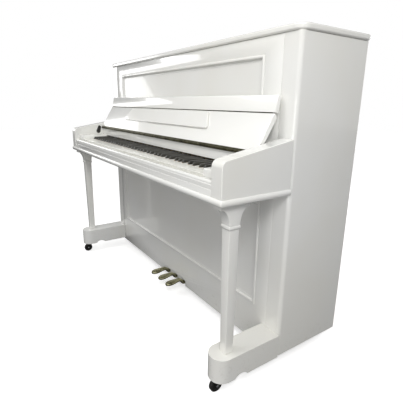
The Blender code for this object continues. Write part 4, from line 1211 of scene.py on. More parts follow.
# ---- fallboard -----------------------------------------------------------------------------
@dataclass
class Fallboard(SubAssembly):
    """The folding cover over the keys with its lip, music desk, hinges and rubber bumpers.

    Attributes:
        foot: From the hinge to the board's lower edge.
        desk_foot_half: Half the music desk's width at its lower edge.
        desk_top_half: Half its width at its upper edge.
        desk_length: Its height along the fall.
        desk_thick: Its thickness.
        desk_corner: Radius of its lower corners.
        knuckle: Radius of the long hinge.
        knuckle_pitch: Length of one knuckle with its gap.
    """

    foot: float = 8 * MM
    desk_foot_half: float = 388 * MM
    desk_top_half: float = 350 * MM
    desk_length: float = 66 * MM
    desk_thick: float = 9 * MM
    desk_corner: float = 9 * MM
    knuckle: float = 3 * MM
    knuckle_pitch: float = 26 * MM

    def __post_init__(self) -> None:
        """Read the hinge lines from the frame's joints, and how far the open fall leans back."""
        self.hinge = joint_at("fall_hinge")
        self.joint = joint_at("lip_hinge")
        self.desk_foot = joint_at("desk_hinge")
        self.lean = math.atan2(self.joint.z - self.hinge.z, self.joint.y - self.hinge.y)
        self.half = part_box("fallboard")[1].x

    def tilted(self, origin: Vector) -> Matrix:
        """Where the fall's own coordinates lie: X across, Y up the board, Z out of its face."""
        return Matrix.Translation(origin) @ Matrix.Rotation(self.lean, 4, "X")

    def build(self) -> None:
        """Make every piece of the fall."""
        self.rounded("fallboard", "lacquered", Look.LACQUER, 2 * MM, 3, "fall")
        self.rounded("fallboard_lip", "lacquered", Look.LACQUER, 0.8 * MM, 2, "lip", 40)
        self.desk()
        self.long_hinge()
        self.lip_hinge()
        self.bumpers()

    def desk(self) -> None:
        """The music desk, a flap with slanting ends and round lower corners."""
        half, top, r = self.desk_foot_half, self.desk_top_half, self.desk_corner
        slant = math.degrees(math.atan2(half - top, self.desk_length))
        outline = arc(-half + r, r, r, 180 - slant, 270, 8)
        outline += arc(half - r, r, r, 270, 360 + slant, 8)
        outline += [(top, self.desk_length), (-top, self.desk_length)]
        mesh = eased(prism(outline, CAD_GAP, CAD_GAP + self.desk_thick, Facing.PLAN), 2 * MM, 4)
        mesh.transform(self.tilted(self.desk_foot))
        self.add("music_desk_lacquered", mesh, Look.LACQUER, "desk", "music_desk")

    def long_hinge(self) -> None:
        """The long brass hinge: a leaf on the nameboard, one on the fall, knuckles in turn."""
        radius, pitch = self.knuckle, self.knuckle_pitch
        count = int(2 * self.half / pitch)
        reach = pitch / 2 - 0.4 * MM
        shape = turned([(0, -reach), (radius - 0.3 * MM, -reach), (radius, -reach + 0.3 * MM),
                        (radius, reach - 0.3 * MM), (radius - 0.3 * MM, reach), (0, reach)],
                       ACROSS, 16)
        places = [self.hinge + Vector(((i - (count - 1) / 2) * pitch, 0, 0)) for i in range(count)]
        shelf_low, shelf_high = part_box("fallboard_hinge")
        leaf = block((-self.half, shelf_low.y, shelf_low.z),
                     (self.half, shelf_high.y, shelf_low.z + 1.6 * MM))
        neck = block((-self.half, self.hinge.y - radius / 2, shelf_low.z),
                     (self.half, self.hinge.y + radius / 2, self.hinge.z - radius / 2))
        fixed = joined([eased(leaf, 0.4 * MM, 1), neck,
                        self.copies(shape, places[::2], Look.DULL_BRASS)])
        self.add("fall_hinge_fixed_half", fixed, Look.DULL_BRASS, "case", "fallboard_hinge")
        face = block((-self.half, 0.5 * MM, -1.2 * MM), (self.half, self.foot + 0.6 * MM, 0.9 * MM))
        face.transform(self.tilted(self.hinge))
        heads = [self.tilted(self.hinge) @ Vector((
            (i - 10) * 66 * MM, self.foot / 2 + 1.6 * MM, 0.9 * MM)) for i in range(21)]
        screws = self.copies(screw_head(1.9 * MM), heads, Look.DULL_BRASS,
                             (self.lean, 0.0, 0.0), 1.5)
        moving = joined([eased(face, 0.4 * MM, 1), screws,
                         self.copies(shape, places[1::2], Look.DULL_BRASS)])
        self.add("fall_hinge_moving_half", moving, Look.DULL_BRASS, "fall")

    def lip_hinge(self) -> None:
        """The thin brass hinge in the joint between the fall and its lip."""
        radius, pitch = 1.2 * MM, 26 * MM
        reach = pitch / 2 - 0.4 * MM
        shape = turned([(0, -reach), (radius, -reach), (radius, reach), (0, reach)],
                       ACROSS, 12)
        place = self.tilted(self.joint)
        count = int(2 * self.half / pitch)
        points = [place @ Vector(((i - (count - 1) / 2) * pitch, -1.5 * MM, -0.5 * MM))
                  for i in range(count)]
        self.add_copies("lip_hinge_knuckles", shape, points, Look.DULL_BRASS, "fall")

    def bumpers(self) -> None:
        """Flat black rubber pads on the arms' inner faces, which quiet the fall's ends."""
        arm = abs(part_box("arm_left")[1].x)
        foot = Vector((self.hinge.y - 22 * MM, self.hinge.z - 24 * MM))
        neck = Vector((self.hinge.y - 15 * MM, self.hinge.z + 3 * MM))
        outline = arc(foot.x, foot.y, 12 * MM, 160, 355, 14)
        outline += [(self.hinge.y - 5 * MM, neck.y - 6 * MM), (self.hinge.y - 5 * MM, neck.y)]
        outline += arc(neck.x, neck.y, 6.5 * MM, 20, 165, 8)
        middle = (foot + neck) / 2
        meshes = []
        for _, side in SIDES:
            rings = [[Vector((side * (arm - out), middle.x + (y - middle.x) * share,
                              middle.y + (z - middle.y) * share)) for y, z in outline]
                     for out, share in ((0.0, 1.0), (1.7 * MM, 1.0), (2.3 * MM, 0.95),
                                        (2.5 * MM, 0.88))]
            meshes.append(skin(rings))
        self.add("fall_bumpers", joined(meshes), Look.RUBBER, "case")


# ---- legs, toes and casters ----------------------------------------------------------------
@dataclass
class Supports(SubAssembly):
    """Front legs on toe blocks, and four casters.

    Attributes:
        foot_half: Half a leg's width at its foot.
        top_half: Half its width under the collar.
        collar_half: Half the collar's width.
        collar_height: The collar's height.
        neck_half: Half the width above the collar.
        capital_height: From the collar's top to the leg's.
        arris: Radius of a leg's corners.
        fillet: Height of the capital's straight top.
        notch_half: Half the length of the arch under a toe.
        notch_depth: Height of that arch.
        notch_reach: From the toe's rear end to the arch's middle.
        toe_ease: Radius of a toe's edges.
        wheel_radius: Radius of a caster's tyre.
    """

    foot_half: float = 15.5 * MM
    top_half: float = 18.5 * MM
    collar_half: float = 22 * MM
    collar_height: float = 13 * MM
    neck_half: float = 20.5 * MM
    capital_height: float = 68 * MM
    arris: float = 2 * MM
    fillet: float = 14 * MM
    notch_half: float = 26 * MM
    notch_depth: float = 13 * MM
    notch_reach: float = 168 * MM
    toe_ease: float = 2.5 * MM
    wheel_radius: float = 24 * MM

    def build(self) -> None:
        """Make legs, toes and casters."""
        self.legs()
        self.toes()
        for end in ("front", "rear"):
            for word, _ in SIDES:
                self.caster(end, word)

    def legs(self) -> None:
        """A square tapered leg with a bead collar and a capital hollowed at front and back."""
        low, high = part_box("leg_right")
        x, y = (low.x + high.x) / 2, (low.y + high.y) / 2
        spread = (high.y - low.y) / 2
        collar_top = high.z - self.capital_height
        collar_low = collar_top - self.collar_height
        levels = [(low.z, self.foot_half - 0.8 * MM, self.foot_half - 0.8 * MM),
                  (low.z + 0.8 * MM, self.foot_half, self.foot_half),
                  (collar_low, self.top_half, self.top_half)]
        middle = (collar_low + collar_top) / 2
        swell = self.collar_half - self.top_half
        for i in range(9):
            a = HALF_TURN * (i / 8 - 0.5)
            half = self.top_half + 0.3 * MM + (swell - 0.3 * MM) * math.cos(a)
            levels.append((middle + self.collar_height / 2 * math.sin(a), half, half))
        levels.append((collar_top + 0.5 * MM, self.neck_half, self.neck_half))
        hollow = high.z - self.fillet - collar_top
        for i in range(1, 11):
            a = QUARTER_TURN * i / 10
            levels.append((collar_top + 0.5 * MM + (hollow - 0.5 * MM) * math.sin(a),
                           self.neck_half,
                           self.neck_half + (spread - self.neck_half) * (1 - math.cos(a))))
        levels.append((high.z, self.neck_half, spread))
        rings = [[Vector((x + u, y + v, z)) for u, v in round_box(hx, hy, self.arris, 3)]
                 for z, hx, hy in levels]
        leg = smooth(skin(rings), 38)
        self.add("leg_right_lacquered", leg, Look.LACQUER, "case", "leg_right")
        self.add("leg_left_lacquered", mirrored(leg), Look.LACQUER, "case", "leg_left")

    def toes(self) -> None:
        """A toe block: round at the nose, flat on top, arched behind its caster."""
        low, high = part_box("toe_right")
        radius = (high.x - low.x) / 2
        middle, nose = low.x + radius, low.y + radius
        outline = arc(middle, nose, radius, 180, 360, 28) + [(high.x, high.y), (low.x, high.y)]
        notch_radius = (self.notch_half ** 2 + self.notch_depth ** 2) / (2 * self.notch_depth)
        across = Matrix.Translation((middle, high.y - self.notch_reach,
                                     low.z + self.notch_depth - notch_radius)) @ ACROSS
        cutter = turned([(0, -radius - 5 * MM), (notch_radius, -radius - 5 * MM),
                         (notch_radius, radius + 5 * MM), (0, radius + 5 * MM)], across, 96)
        toe = eased(carved(prism(outline, low.z, high.z, Facing.PLAN), cutter), self.toe_ease, 3)
        self.add("toe_right_lacquered", toe, Look.LACQUER, "case", "toe_right")
        self.add("toe_left_lacquered", mirrored(toe), Look.LACQUER, "case", "toe_left")

    def caster(self, end: str, word: str) -> None:
        """A swivel caster: pressed fork and bearing, bolted axle, tyre with a turned hub.

        Args:
            end: "front" or "rear".
            word: "left" or "right".
        """
        node = f"caster_fork_{end}_{word}"
        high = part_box(node)[1]
        wheel_low, wheel_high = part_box(f"caster_wheel_{end}_{word}")
        axle = (wheel_low + wheel_high) / 2
        pivot = joint_at(f"{end}_{word}_swivel")
        body = f"{end}_{word}_fork"
        swivel = Matrix.Translation((pivot.x, pivot.y, high.z))
        race = turned([(0, -6.5 * MM), (10 * MM, -6.5 * MM), (12 * MM, -5.5 * MM),
                       (12 * MM, -3.5 * MM), (10.5 * MM, -3 * MM), (0, -2.8 * MM)], swivel, 24)
        heads = [Vector((pivot.x + 16 * MM * math.cos(a), pivot.y + 16 * MM * math.sin(a),
                         high.z - 3 * MM))
                 for a in (HALF_TURN * (0.25 + 0.5 * i) for i in range(4))]
        screws = self.copies(screw_head(2.2 * MM), heads, Look.BLACK_IRON,
                             UNDER, 1.5)
        fork = joined([eased(copy_of(node), 0.7 * MM, 2), race, screws])
        self.add(f"{node}_pressed", fork, Look.BLACK_IRON, body, node)
        half, r = (wheel_high.x - wheel_low.x) / 2, self.wheel_radius
        across = Matrix.Translation(axle) @ ACROSS
        side = [(0.0, half - 1.2 * MM), (4.2 * MM, half - 1.2 * MM), (6.5 * MM, half - 1.4 * MM),
                (7.2 * MM, half - 3.4 * MM), (15 * MM, half - 3.4 * MM),
                (16.5 * MM, half - 0.6 * MM)]
        side += [(r - 4 * MM + u, half - 4 * MM + v) for u, v in
                 reversed(arc(0, 0, 4 * MM, 0, 90, 5))]
        profile = [(u, -v) for u, v in side] + list(reversed(side))
        tyre = smooth(turned(profile, across, 40), 40)
        self.add(f"caster_wheel_{end}_{word}_tyre", tyre, Look.RUBBER, f"{end}_{word}_wheel",
                 f"caster_wheel_{end}_{word}")
        reach = half + 3.3 * MM
        nut = turned([(0, -0.8 * MM), (5 * MM, -0.8 * MM), (5 * MM, 1.0 * MM), (4 * MM, 2.0 * MM),
                      (0, 2.2 * MM)], steps=6)
        pair = [self.copies(nut, [axle + Vector((side * reach, 0, 0))], Look.STEEL,
                            (0.0, side * QUARTER_TURN, 0.0)) for _, side in SIDES]
        self.add(f"caster_axle_nuts_{end}_{word}", joined(pair), Look.STEEL, body)


# ---- pedals --------------------------------------------------------------------------------
@dataclass
class Pedals(SubAssembly):
    """Three cast brass pedals, their rods and the board that carries them.

    Attributes:
        shank_half: Half a pedal's width at its shank.
        tip_half: Half its width at its broad tip.
        thick: Thickness.
        neck_turn: How steeply a pedal climbs in front of the panel.
        neck: Radius of the bend at its foot.
        crown: Radius of its arch.
        fall: How much the tip slopes down.
        stretch: Length of the tip's oval as a share of its width.
    """

    shank_half: float = 13 * MM
    tip_half: float = 20.5 * MM
    thick: float = 15 * MM
    neck_turn: float = math.radians(68)
    neck: float = 11 * MM
    crown: float = 20 * MM
    fall: float = math.radians(5)
    stretch: float = 1.35

    def build(self) -> None:
        """Make the pedals, their rods and the bottom board."""
        for word in PEDALS:
            self.pedal(word)
            low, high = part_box(f"pedal_rod_{word}")
            middle = (low + high) / 2
            place = Matrix.Translation((middle.x, middle.y, low.z))
            height = high.z - low.z
            rod = turned([(0, 0), (3.6 * MM, 0), (5 * MM, 2 * MM), (5 * MM, height - 2 * MM),
                          (4 * MM, height), (0, height)], place, 16)
            self.add(f"pedal_rod_{word}_turned", rod, Look.MAPLE, f"{word}_rod",
                     f"pedal_rod_{word}")
        self.rounded("bottom_board", "planed", Look.BEECH, 1 * MM)
        self.guide_felts()

    def path(self, rear: float, front: float, tip: float, z: float) -> list[tuple[float, ...]]:
        """A pedal's middle line: level inside, up its neck, over its crown and out to its tip.

        Args:
            rear: Its rear end.
            front: The panel's face.
            tip: Its front end.
            z: Its height inside the panel.

        Returns:
            Places along it, each with y, z and how steeply it climbs there.
        """
        line = [(rear + (front - rear) * i / 6, z, 0.0) for i in range(7)]
        for i in range(1, 9):
            climb = self.neck_turn * i / 8
            line.append((front - self.neck * math.sin(climb),
                         z + self.neck * (1 - math.cos(climb)), climb))
        crown_y = line[-1][0] - self.crown * math.sin(self.neck_turn)
        crown_z = line[-1][1] - self.crown * math.cos(self.neck_turn)
        for i in range(1, 17):
            climb = self.neck_turn - (self.neck_turn + self.fall) * i / 16
            line.append((crown_y + self.crown * math.sin(climb),
                         crown_z + self.crown * math.cos(climb), climb))
        start_y, start_z, _ = line[-1]
        for i in range(1, 21):
            y = start_y + (tip - start_y) * math.sin(QUARTER_TURN * i / 20)
            line.append((y, start_z - (start_y - y) * math.tan(self.fall), -self.fall))
        return line

    def width(self, from_tip: float) -> float:
        """Half the width of a pedal at a distance from its tip: an oval that narrows smoothly."""
        long_half = self.stretch * self.tip_half
        if from_tip < long_half:
            off = (long_half - from_tip) / long_half
            return self.tip_half * math.sqrt(max(0.0, 1 - off ** 2))
        share = min(1.0, (from_tip - long_half) / (2.2 * self.tip_half))
        smooth = share * share * (3 - 2 * share)
        return self.tip_half + (self.shank_half - self.tip_half) * smooth

    def pedal(self, word: str) -> None:
        """One pedal, lofted from rear to tip, with a domed top, and its pivot pin.

        Args:
            word: Which pedal.
        """
        low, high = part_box(f"pedal_{word}")
        x = (low.x + high.x) / 2
        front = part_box("lower_panel")[0].y
        pivot = joint_at(f"{word}_pedal_hinge")
        rings = []
        for y, z, climb in self.path(high.y - 0.2 * MM, front, low.y + 0.9 * MM, pivot.z):
            half_x = max(self.width(y - low.y), 1.5 * MM)
            near = min(1.0, (y - low.y) / (9 * MM))
            half_z = self.thick / 2 * (0.55 + 0.45 * math.sqrt(near)) - 0.1 * MM
            ring = []
            for i in range(24):
                a = 2 * math.pi * i / 24
                u = math.copysign(abs(math.cos(a)) ** 0.7, math.cos(a)) * half_x
                v = math.copysign(abs(math.sin(a)) ** 0.75, math.sin(a)) * half_z
                ring.append(Vector((x + u, y + v * math.sin(climb), z + v * math.cos(climb))))
            rings.append(ring)
        shape = smooth(skin(rings), 60)
        across = Matrix.Translation((x, pivot.y, pivot.z)) @ ACROSS
        reach_x = (high.x - low.x) / 2
        pin = turned([(0, -reach_x), (3 * MM, -reach_x), (3 * MM, reach_x), (0, reach_x)],
                     across, 12)
        self.add(f"pedal_{word}_cast", joined([shape, pin]), Look.BRASS, f"{word}_pedal",
                 f"pedal_{word}")

    def guide_felts(self) -> None:
        """Strips of felt in the panel's notches, which keep the pedals from rattling."""
        low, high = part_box("lower_panel")
        strips = []
        for word in PEDALS:
            pedal_low, pedal_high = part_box(f"pedal_{word}")
            x = (pedal_low.x + pedal_high.x) / 2
            for _, side in SIDES:
                near, far = sorted((x + side * 14 * MM, x + side * 16.6 * MM))
                strips.append(eased(block((near, low.y + 5 * MM, low.z + 5 * MM),
                                          (far, high.y - 3 * MM, low.z + 24 * MM)), 0.5 * MM, 2))
        self.add("pedal_guide_felts", joined(strips), Look.WHITE_FELT, "case")


# ---- back, plate and strings ---------------------------------------------------------------
@dataclass
class Back(SubAssembly):
    """Back posts, soundboard with its ribs, iron plate, pin block, tuning pins and strings.

    Attributes:
        bass_notes: How many notes are in the bass, with wound strings.
        single_notes: How many of those have one string.
        string_gap: Between the strings of one note.
        string_rise: How far the strings go on above the line where the hammers strike.
        bass_lengths: From that line to the lower end, for the lowest and highest bass notes.
        treble_lengths: The same for the notes above them.
        bass_slopes: How far the lowest and highest bass strings lean, as a slope.
        treble_slope: How far the lowest plain strings lean. The highest stand upright.
        bar_z: Height of the pressure bar's middle.
        ribs: How many ribs the soundboard has.
        rib_turn: How far they lean.
    """

    bass_notes: int = 26
    single_notes: int = 8
    string_gap: float = 3.2 * MM
    string_rise: float = 0.075
    bass_lengths: Pair = (0.80, 0.74)
    treble_lengths: Pair = (0.76, 0.075)
    bass_slopes: Pair = (0.42, 0.28)
    treble_slope: float = -0.20
    bar_z: float = 1.045
    ribs: int = 8
    rib_turn: float = math.radians(38)

    def build(self) -> None:
        """Make the back, the plate and the strings."""
        self.rounded("back_frame", "planed", Look.BEECH, 4 * MM)
        self.rounded("pin_block", "planed", Look.BEECH, 1 * MM)
        self.soundboard()
        self.plate()
        self.strings()
        self.back_fittings()

    def soundboard(self) -> None:
        """A thin spruce board, and slanting ribs with scooped ends glued on its back."""
        low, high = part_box("soundboard")
        thick = 9 * MM
        board = eased(block((low.x, low.y, low.z), (high.x, low.y + thick, high.z)), 1 * MM, 2)
        self.add("soundboard_planed", board, Look.SPRUCE, "case", "soundboard")
        height, depth = 24 * MM, high.y - low.y - thick
        meshes = []
        for i in range(self.ribs):
            at = ((i + 0.5) / self.ribs * 2 - 1) * high.x * 0.86
            room = min((high.x - abs(at)) / math.cos(self.rib_turn),
                       (high.z - low.z) / 2 / math.sin(self.rib_turn)) - 1.5 * height
            scoop = 70 * MM
            profile = [(-room, 0.0)]
            profile += [(-room + scoop * j / 5, depth * (0.25 + 0.75 * math.sin(
                QUARTER_TURN * j / 5) ** 2)) for j in range(6)]
            profile += [(-u, v) for u, v in reversed(profile)]
            rib = eased(prism(profile, -height / 2, height / 2, Facing.PLAN), 1 * MM, 2)
            place = Matrix.Translation((at, low.y + thick, (low.z + high.z) / 2))
            meshes.append(moved(rib, place @ Matrix.Rotation(self.rib_turn, 4, "Y")))
        self.add("soundboard_ribs", joined(meshes), Look.SPRUCE, "case")

    def plate(self) -> None:
        """The cast plate with round edges, its bolts and the pressure bar over the strings."""
        low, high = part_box("iron_plate")
        self.rounded("iron_plate", "cast", Look.GOLD_IRON, 3 * MM, 3)
        bolts = [Vector((low.x + 30 * MM + (high.x - low.x - 60 * MM) * i / 8, low.y, z))
                 for i in range(9) for z in (low.z + 40 * MM, high.z - 12 * MM)]
        dome = turned([(0, -1 * MM), (9 * MM, -1 * MM), (9 * MM, 1 * MM), (6.5 * MM, 1.5 * MM),
                       (6 * MM, 5 * MM), (4 * MM, 6.5 * MM), (0, 7 * MM)], steps=14)
        self.add_copies("plate_bolts", dome, bolts, Look.GOLD_IRON, "case", turn=FORWARD)
        reach = high.x - 60 * MM
        bar = prism([(low.y - 13 * MM + u, self.bar_z + v) for u, v in round_box(
            3.5 * MM, 6 * MM, 3 * MM, 3)], -reach, reach, Facing.SIDE)
        self.add("pressure_bar", smooth(bar, 60), Look.STEEL, "case")

    def string_rows(self) -> list[tuple[int, Vector, Vector]]:
        """Every string as its note, its upper end and its lower end."""
        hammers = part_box("hammer_set")
        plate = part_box("iron_plate")[0].y
        width = hammers[1].x - hammers[0].x
        rows = []
        for note in range(NOTES):
            middle = hammers[0].x + width * (note + 0.5) / NOTES
            if note < self.bass_notes:
                share = note / self.bass_notes
                (first, last), (steep, flat) = self.bass_lengths, self.bass_slopes
                length, slope = first - (first - last) * share, steep - (steep - flat) * share
                strings, y = 1 if note < self.single_notes else 2, plate - 13 * MM
            else:
                share = (note - self.bass_notes) / (NOTES - self.bass_notes)
                first, last = self.treble_lengths
                length, slope = first * (last / first) ** share, self.treble_slope * (1 - share)
                strings, y = 3, plate - 8 * MM
            for k in range(strings):
                x = middle + (k - (strings - 1) / 2) * self.string_gap
                rise = self.string_rise
                rows.append((note, Vector((x - slope * rise, y, STRIKE_Z + rise)),
                             Vector((x + slope * length, y, STRIKE_Z - length))))
        return rows

    def strings(self) -> None:
        """Plain and wound strings, with a tuning pin and a hitch pin for each."""
        rows = self.string_rows()
        bass = [row for row in rows if row[0] < self.bass_notes]
        copper = self.wires([(top.lerp(foot, 0.06), top.lerp(foot, 0.97)) for _, top, foot in bass],
                            [(2.4 - 1.5 * note / self.bass_notes) * MM / 2 + 0.3 * MM
                             for note, _, _ in bass], Look.COPPER)
        self.add("bass_string_windings", copper, Look.COPPER, "case")
        steel = self.wires([(top, foot) for _, top, foot in rows],
                           [0.55 * MM] * len(rows), Look.STEEL, 5)
        self.add("steel_strings", steel, Look.STEEL, "case")
        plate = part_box("iron_plate")[0].y
        pins, hitches = [], []
        for k, (_, top, foot) in enumerate(rows):
            pins.append(Vector((top.x, plate - 2 * MM, top.z + (12 + 13 * (k % 3)) * MM)))
            hitches.append(Vector((foot.x, plate - 2 * MM, foot.z)))
        shape = turned([(0, -4 * MM), (3.3 * MM, -4 * MM), (3.3 * MM, 14 * MM),
                        (2.8 * MM, 15 * MM), (0, 15 * MM)], steps=8)
        self.add_copies("tuning_pins", shape, pins, Look.STEEL, "case", turn=FORWARD, spin=0.8)
        coil = turned([(0, 3 * MM), (4.2 * MM, 3 * MM), (4.2 * MM, 6.5 * MM), (0, 6.5 * MM)],
                      steps=8)
        self.add_copies("string_coils", coil, pins, Look.STEEL, "case", turn=FORWARD)
        hitch = turned([(0, -2 * MM), (1.4 * MM, -2 * MM), (1.4 * MM, 13 * MM), (0, 13 * MM)],
                       steps=6)
        self.add_copies("hitch_pins", hitch, hitches, Look.STEEL, "case", turn=FORWARD)

    def back_fittings(self) -> None:
        """Nuts and washers of the bolts that hold the plate to the posts, seen on the back."""
        low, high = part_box("back_frame")
        nut = turned([(0, -1 * MM), (11 * MM, -1 * MM), (11 * MM, -0.4 * MM), (7 * MM, -0.4 * MM),
                      (7 * MM, -0.4 * MM), (6.4 * MM, -0.05 * MM), (0, -0.05 * MM)], steps=6)
        places = [Vector((low.x + 35 * MM + (high.x - low.x - 70 * MM) * i / 4, high.y, z))
                  for i in range(5) for z in (low.z + 45 * MM, high.z - 45 * MM)]
        self.add_copies("back_bolts", nut, places, Look.BLACK_IRON, "case",
                        turn=(-QUARTER_TURN, 0.0, 0.0), spin=0.5)


# ---- action --------------------------------------------------------------------------------
@dataclass
class Action(SubAssembly):
    """The action: felt hammers on maple shanks, dampers, wippens, rails and brackets.

    Attributes:
        shank_radius: Radius of a hammer shank.
        damped: How many notes have a damper.
        wippen_z: Height of the wippens.
    """

    shank_radius: float = 2.6 * MM
    damped: int = 66
    wippen_z: float = 0.775

    def __post_init__(self) -> None:
        """Read where each note's hammer stands."""
        low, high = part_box("hammer_set")
        pitch = (high.x - low.x) / NOTES
        self.places = [low.x + (note + 0.5) * pitch for note in range(NOTES)]

    def build(self) -> None:
        """Make every part of the action."""
        self.hammers()
        self.dampers()
        self.rails()
        self.wippens()

    def row(self, y: float, z: float) -> list[Vector]:
        """One point for each note."""
        return [Vector((x, y, z)) for x in self.places]

    def hammers(self) -> None:
        """Butts, shanks, mouldings and pear-shaped felts, smaller towards the treble."""
        low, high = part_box("hammer_set")
        y, base = (low.y + high.y) / 2, low.z
        butt = eased(prism([(-8 * MM, 0), (8 * MM, 0), (9 * MM, 12 * MM), (3 * MM, 24 * MM),
                            (-4 * MM, 24 * MM), (-9 * MM, 10 * MM)], -4 * MM, 4 * MM,
                           Facing.SIDE), 0.8 * MM, 1)
        top, radius = STRIKE_Z - base, self.shank_radius
        shank = turned([(0, 20 * MM), (radius, 20 * MM), (radius, top - 4 * MM),
                        (0, top - 4 * MM)], steps=8)
        core = eased(prism([(-12 * MM, top - 5 * MM), (14 * MM, top - 3 * MM),
                            (14 * MM, top + 3 * MM), (-12 * MM, top + 5 * MM)],
                           -3.6 * MM, 3.6 * MM, Facing.SIDE), 0.6 * MM, 1)
        model = joined([butt, shank, core])
        self.add_copies("hammer_woods", model, self.row(y, base), Look.MAPLE, "hammers",
                        "hammer_set")
        pear = [(3 * MM, -7 * MM), (13 * MM, -9.5 * MM), (23 * MM, -8 * MM), (30 * MM, -4 * MM),
                (32.5 * MM, 0.0), (30 * MM, 4 * MM), (23 * MM, 8 * MM), (13 * MM, 9.5 * MM),
                (3 * MM, 7 * MM)]
        felt = eased(prism(pear, -4.4 * MM, 4.4 * MM, Facing.SIDE), 0.8 * MM, 1)
        sizes = [1.12 - 0.42 * note / NOTES for note in range(NOTES)]
        self.add_copies("hammer_felts", felt, self.row(y, STRIKE_Z), Look.WHITE_FELT, "hammers",
                        sizes=sizes)

    def dampers(self) -> None:
        """Damper wires with wooden heads and felts, for all but the highest notes."""
        low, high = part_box("damper_set")
        places = self.row((low.y + high.y) / 2, low.z)[:self.damped]
        lever = eased(block((-3.4 * MM, -4 * MM, 0), (3.4 * MM, 4 * MM, 14 * MM)), 0.7 * MM, 1)
        wire = turned([(0, 12 * MM), (0.8 * MM, 12 * MM), (0.8 * MM, 46 * MM), (0, 46 * MM)],
                      steps=6)
        head = eased(block((-4 * MM, -4.5 * MM, 34 * MM), (4 * MM, 0.5 * MM, 50 * MM)),
                     0.7 * MM, 1)
        woods = self.copies(joined([lever, wire, head]), places, Look.MAPLE)
        rail = eased(block((low.x, low.y + 1 * MM, low.z),
                           (high.x, high.y - 1 * MM, low.z + 9 * MM)), 1 * MM, 2)
        self.add("damper_woods", joined([woods, rail]), Look.MAPLE, "dampers", "damper_set")
        pad = eased(block((-4 * MM, 0.7 * MM, 34 * MM), (4 * MM, 4.6 * MM, 50 * MM)), 1.1 * MM, 2)
        self.add_copies("damper_felts", pad, places, Look.WHITE_FELT, "dampers")

    def rails(self) -> None:
        """The hammer rest rail, the muffler rail with its felt, main rail and brackets."""
        self.rounded("hammer_rest_rail", "planed", Look.MAPLE, 1 * MM, body="rest_rail")
        low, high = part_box("hammer_rest_rail")
        pad = eased(block((low.x, high.y - 3 * MM, low.z + 1 * MM),
                          (high.x, high.y + 1.5 * MM, high.z - 1 * MM)), 1 * MM, 2)
        self.add("hammer_rest_felt", pad, Look.RED_FELT, "rest_rail")
        low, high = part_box("muffler_rail")
        bar = eased(block((low.x, low.y, high.z - 9 * MM), high), 0.8 * MM, 2)
        self.add("muffler_bar", bar, Look.STEEL, "muffler", "muffler_rail")
        count = 150
        rings = []
        for i in range(count + 1):
            x = low.x + (high.x - low.x) * i / count
            wave = 0.6 * MM * math.sin(i * 1.3) + 0.4 * MM * math.sin(i * 0.37)
            near, far = ((low.y + high.y) / 2 + wave + side * 0.8 * MM for _, side in SIDES)
            hem, head = low.z + 9 * MM + abs(wave), high.z - 4 * MM
            rings.append([Vector((x, y, z)) for y, z in (
                (near, head), (near, hem), (far, hem), (far, head))])
        self.add("muffler_felt", skin(rings), Look.WHITE_FELT, "muffler")
        self.rounded("action_frame", "cast", Look.BLACK_IRON, 1.5 * MM)

    def wippens(self) -> None:
        """A wippen with its jack, flange and cushion for each note."""
        low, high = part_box("hammer_set")
        beam = eased(prism([(-34 * MM, 0), (20 * MM, -4 * MM), (22 * MM, 6 * MM), (2 * MM, 9 * MM),
                            (-34 * MM, 9 * MM)], -3.2 * MM, 3.2 * MM, Facing.SIDE), 0.6 * MM, 1)
        jack = eased(prism([(-22 * MM, 8 * MM), (-14 * MM, 8 * MM), (-12 * MM, 62 * MM),
                            (-17 * MM, 62 * MM)], -2 * MM, 2 * MM, Facing.SIDE), 0.4 * MM, 1)
        flange = eased(prism([(12 * MM, 5 * MM), (20 * MM, 5 * MM), (20 * MM, 32 * MM),
                              (12 * MM, 32 * MM)], -3 * MM, 3 * MM, Facing.SIDE), 0.6 * MM, 1)
        places = self.row((low.y + high.y) / 2 - 6 * MM, self.wippen_z)
        self.add_copies("wippens", joined([beam, jack, flange]), places, Look.MAPLE, "case")
        pad = turned([(0, -5 * MM), (4 * MM, -5 * MM), (4 * MM, -1 * MM), (0, -1 * MM)], steps=10)
        seats = [point + Vector((0, -22 * MM, 3 * MM)) for point in places]
        self.add_copies("wippen_cushions", pad, seats, Look.RED_FELT, "case")


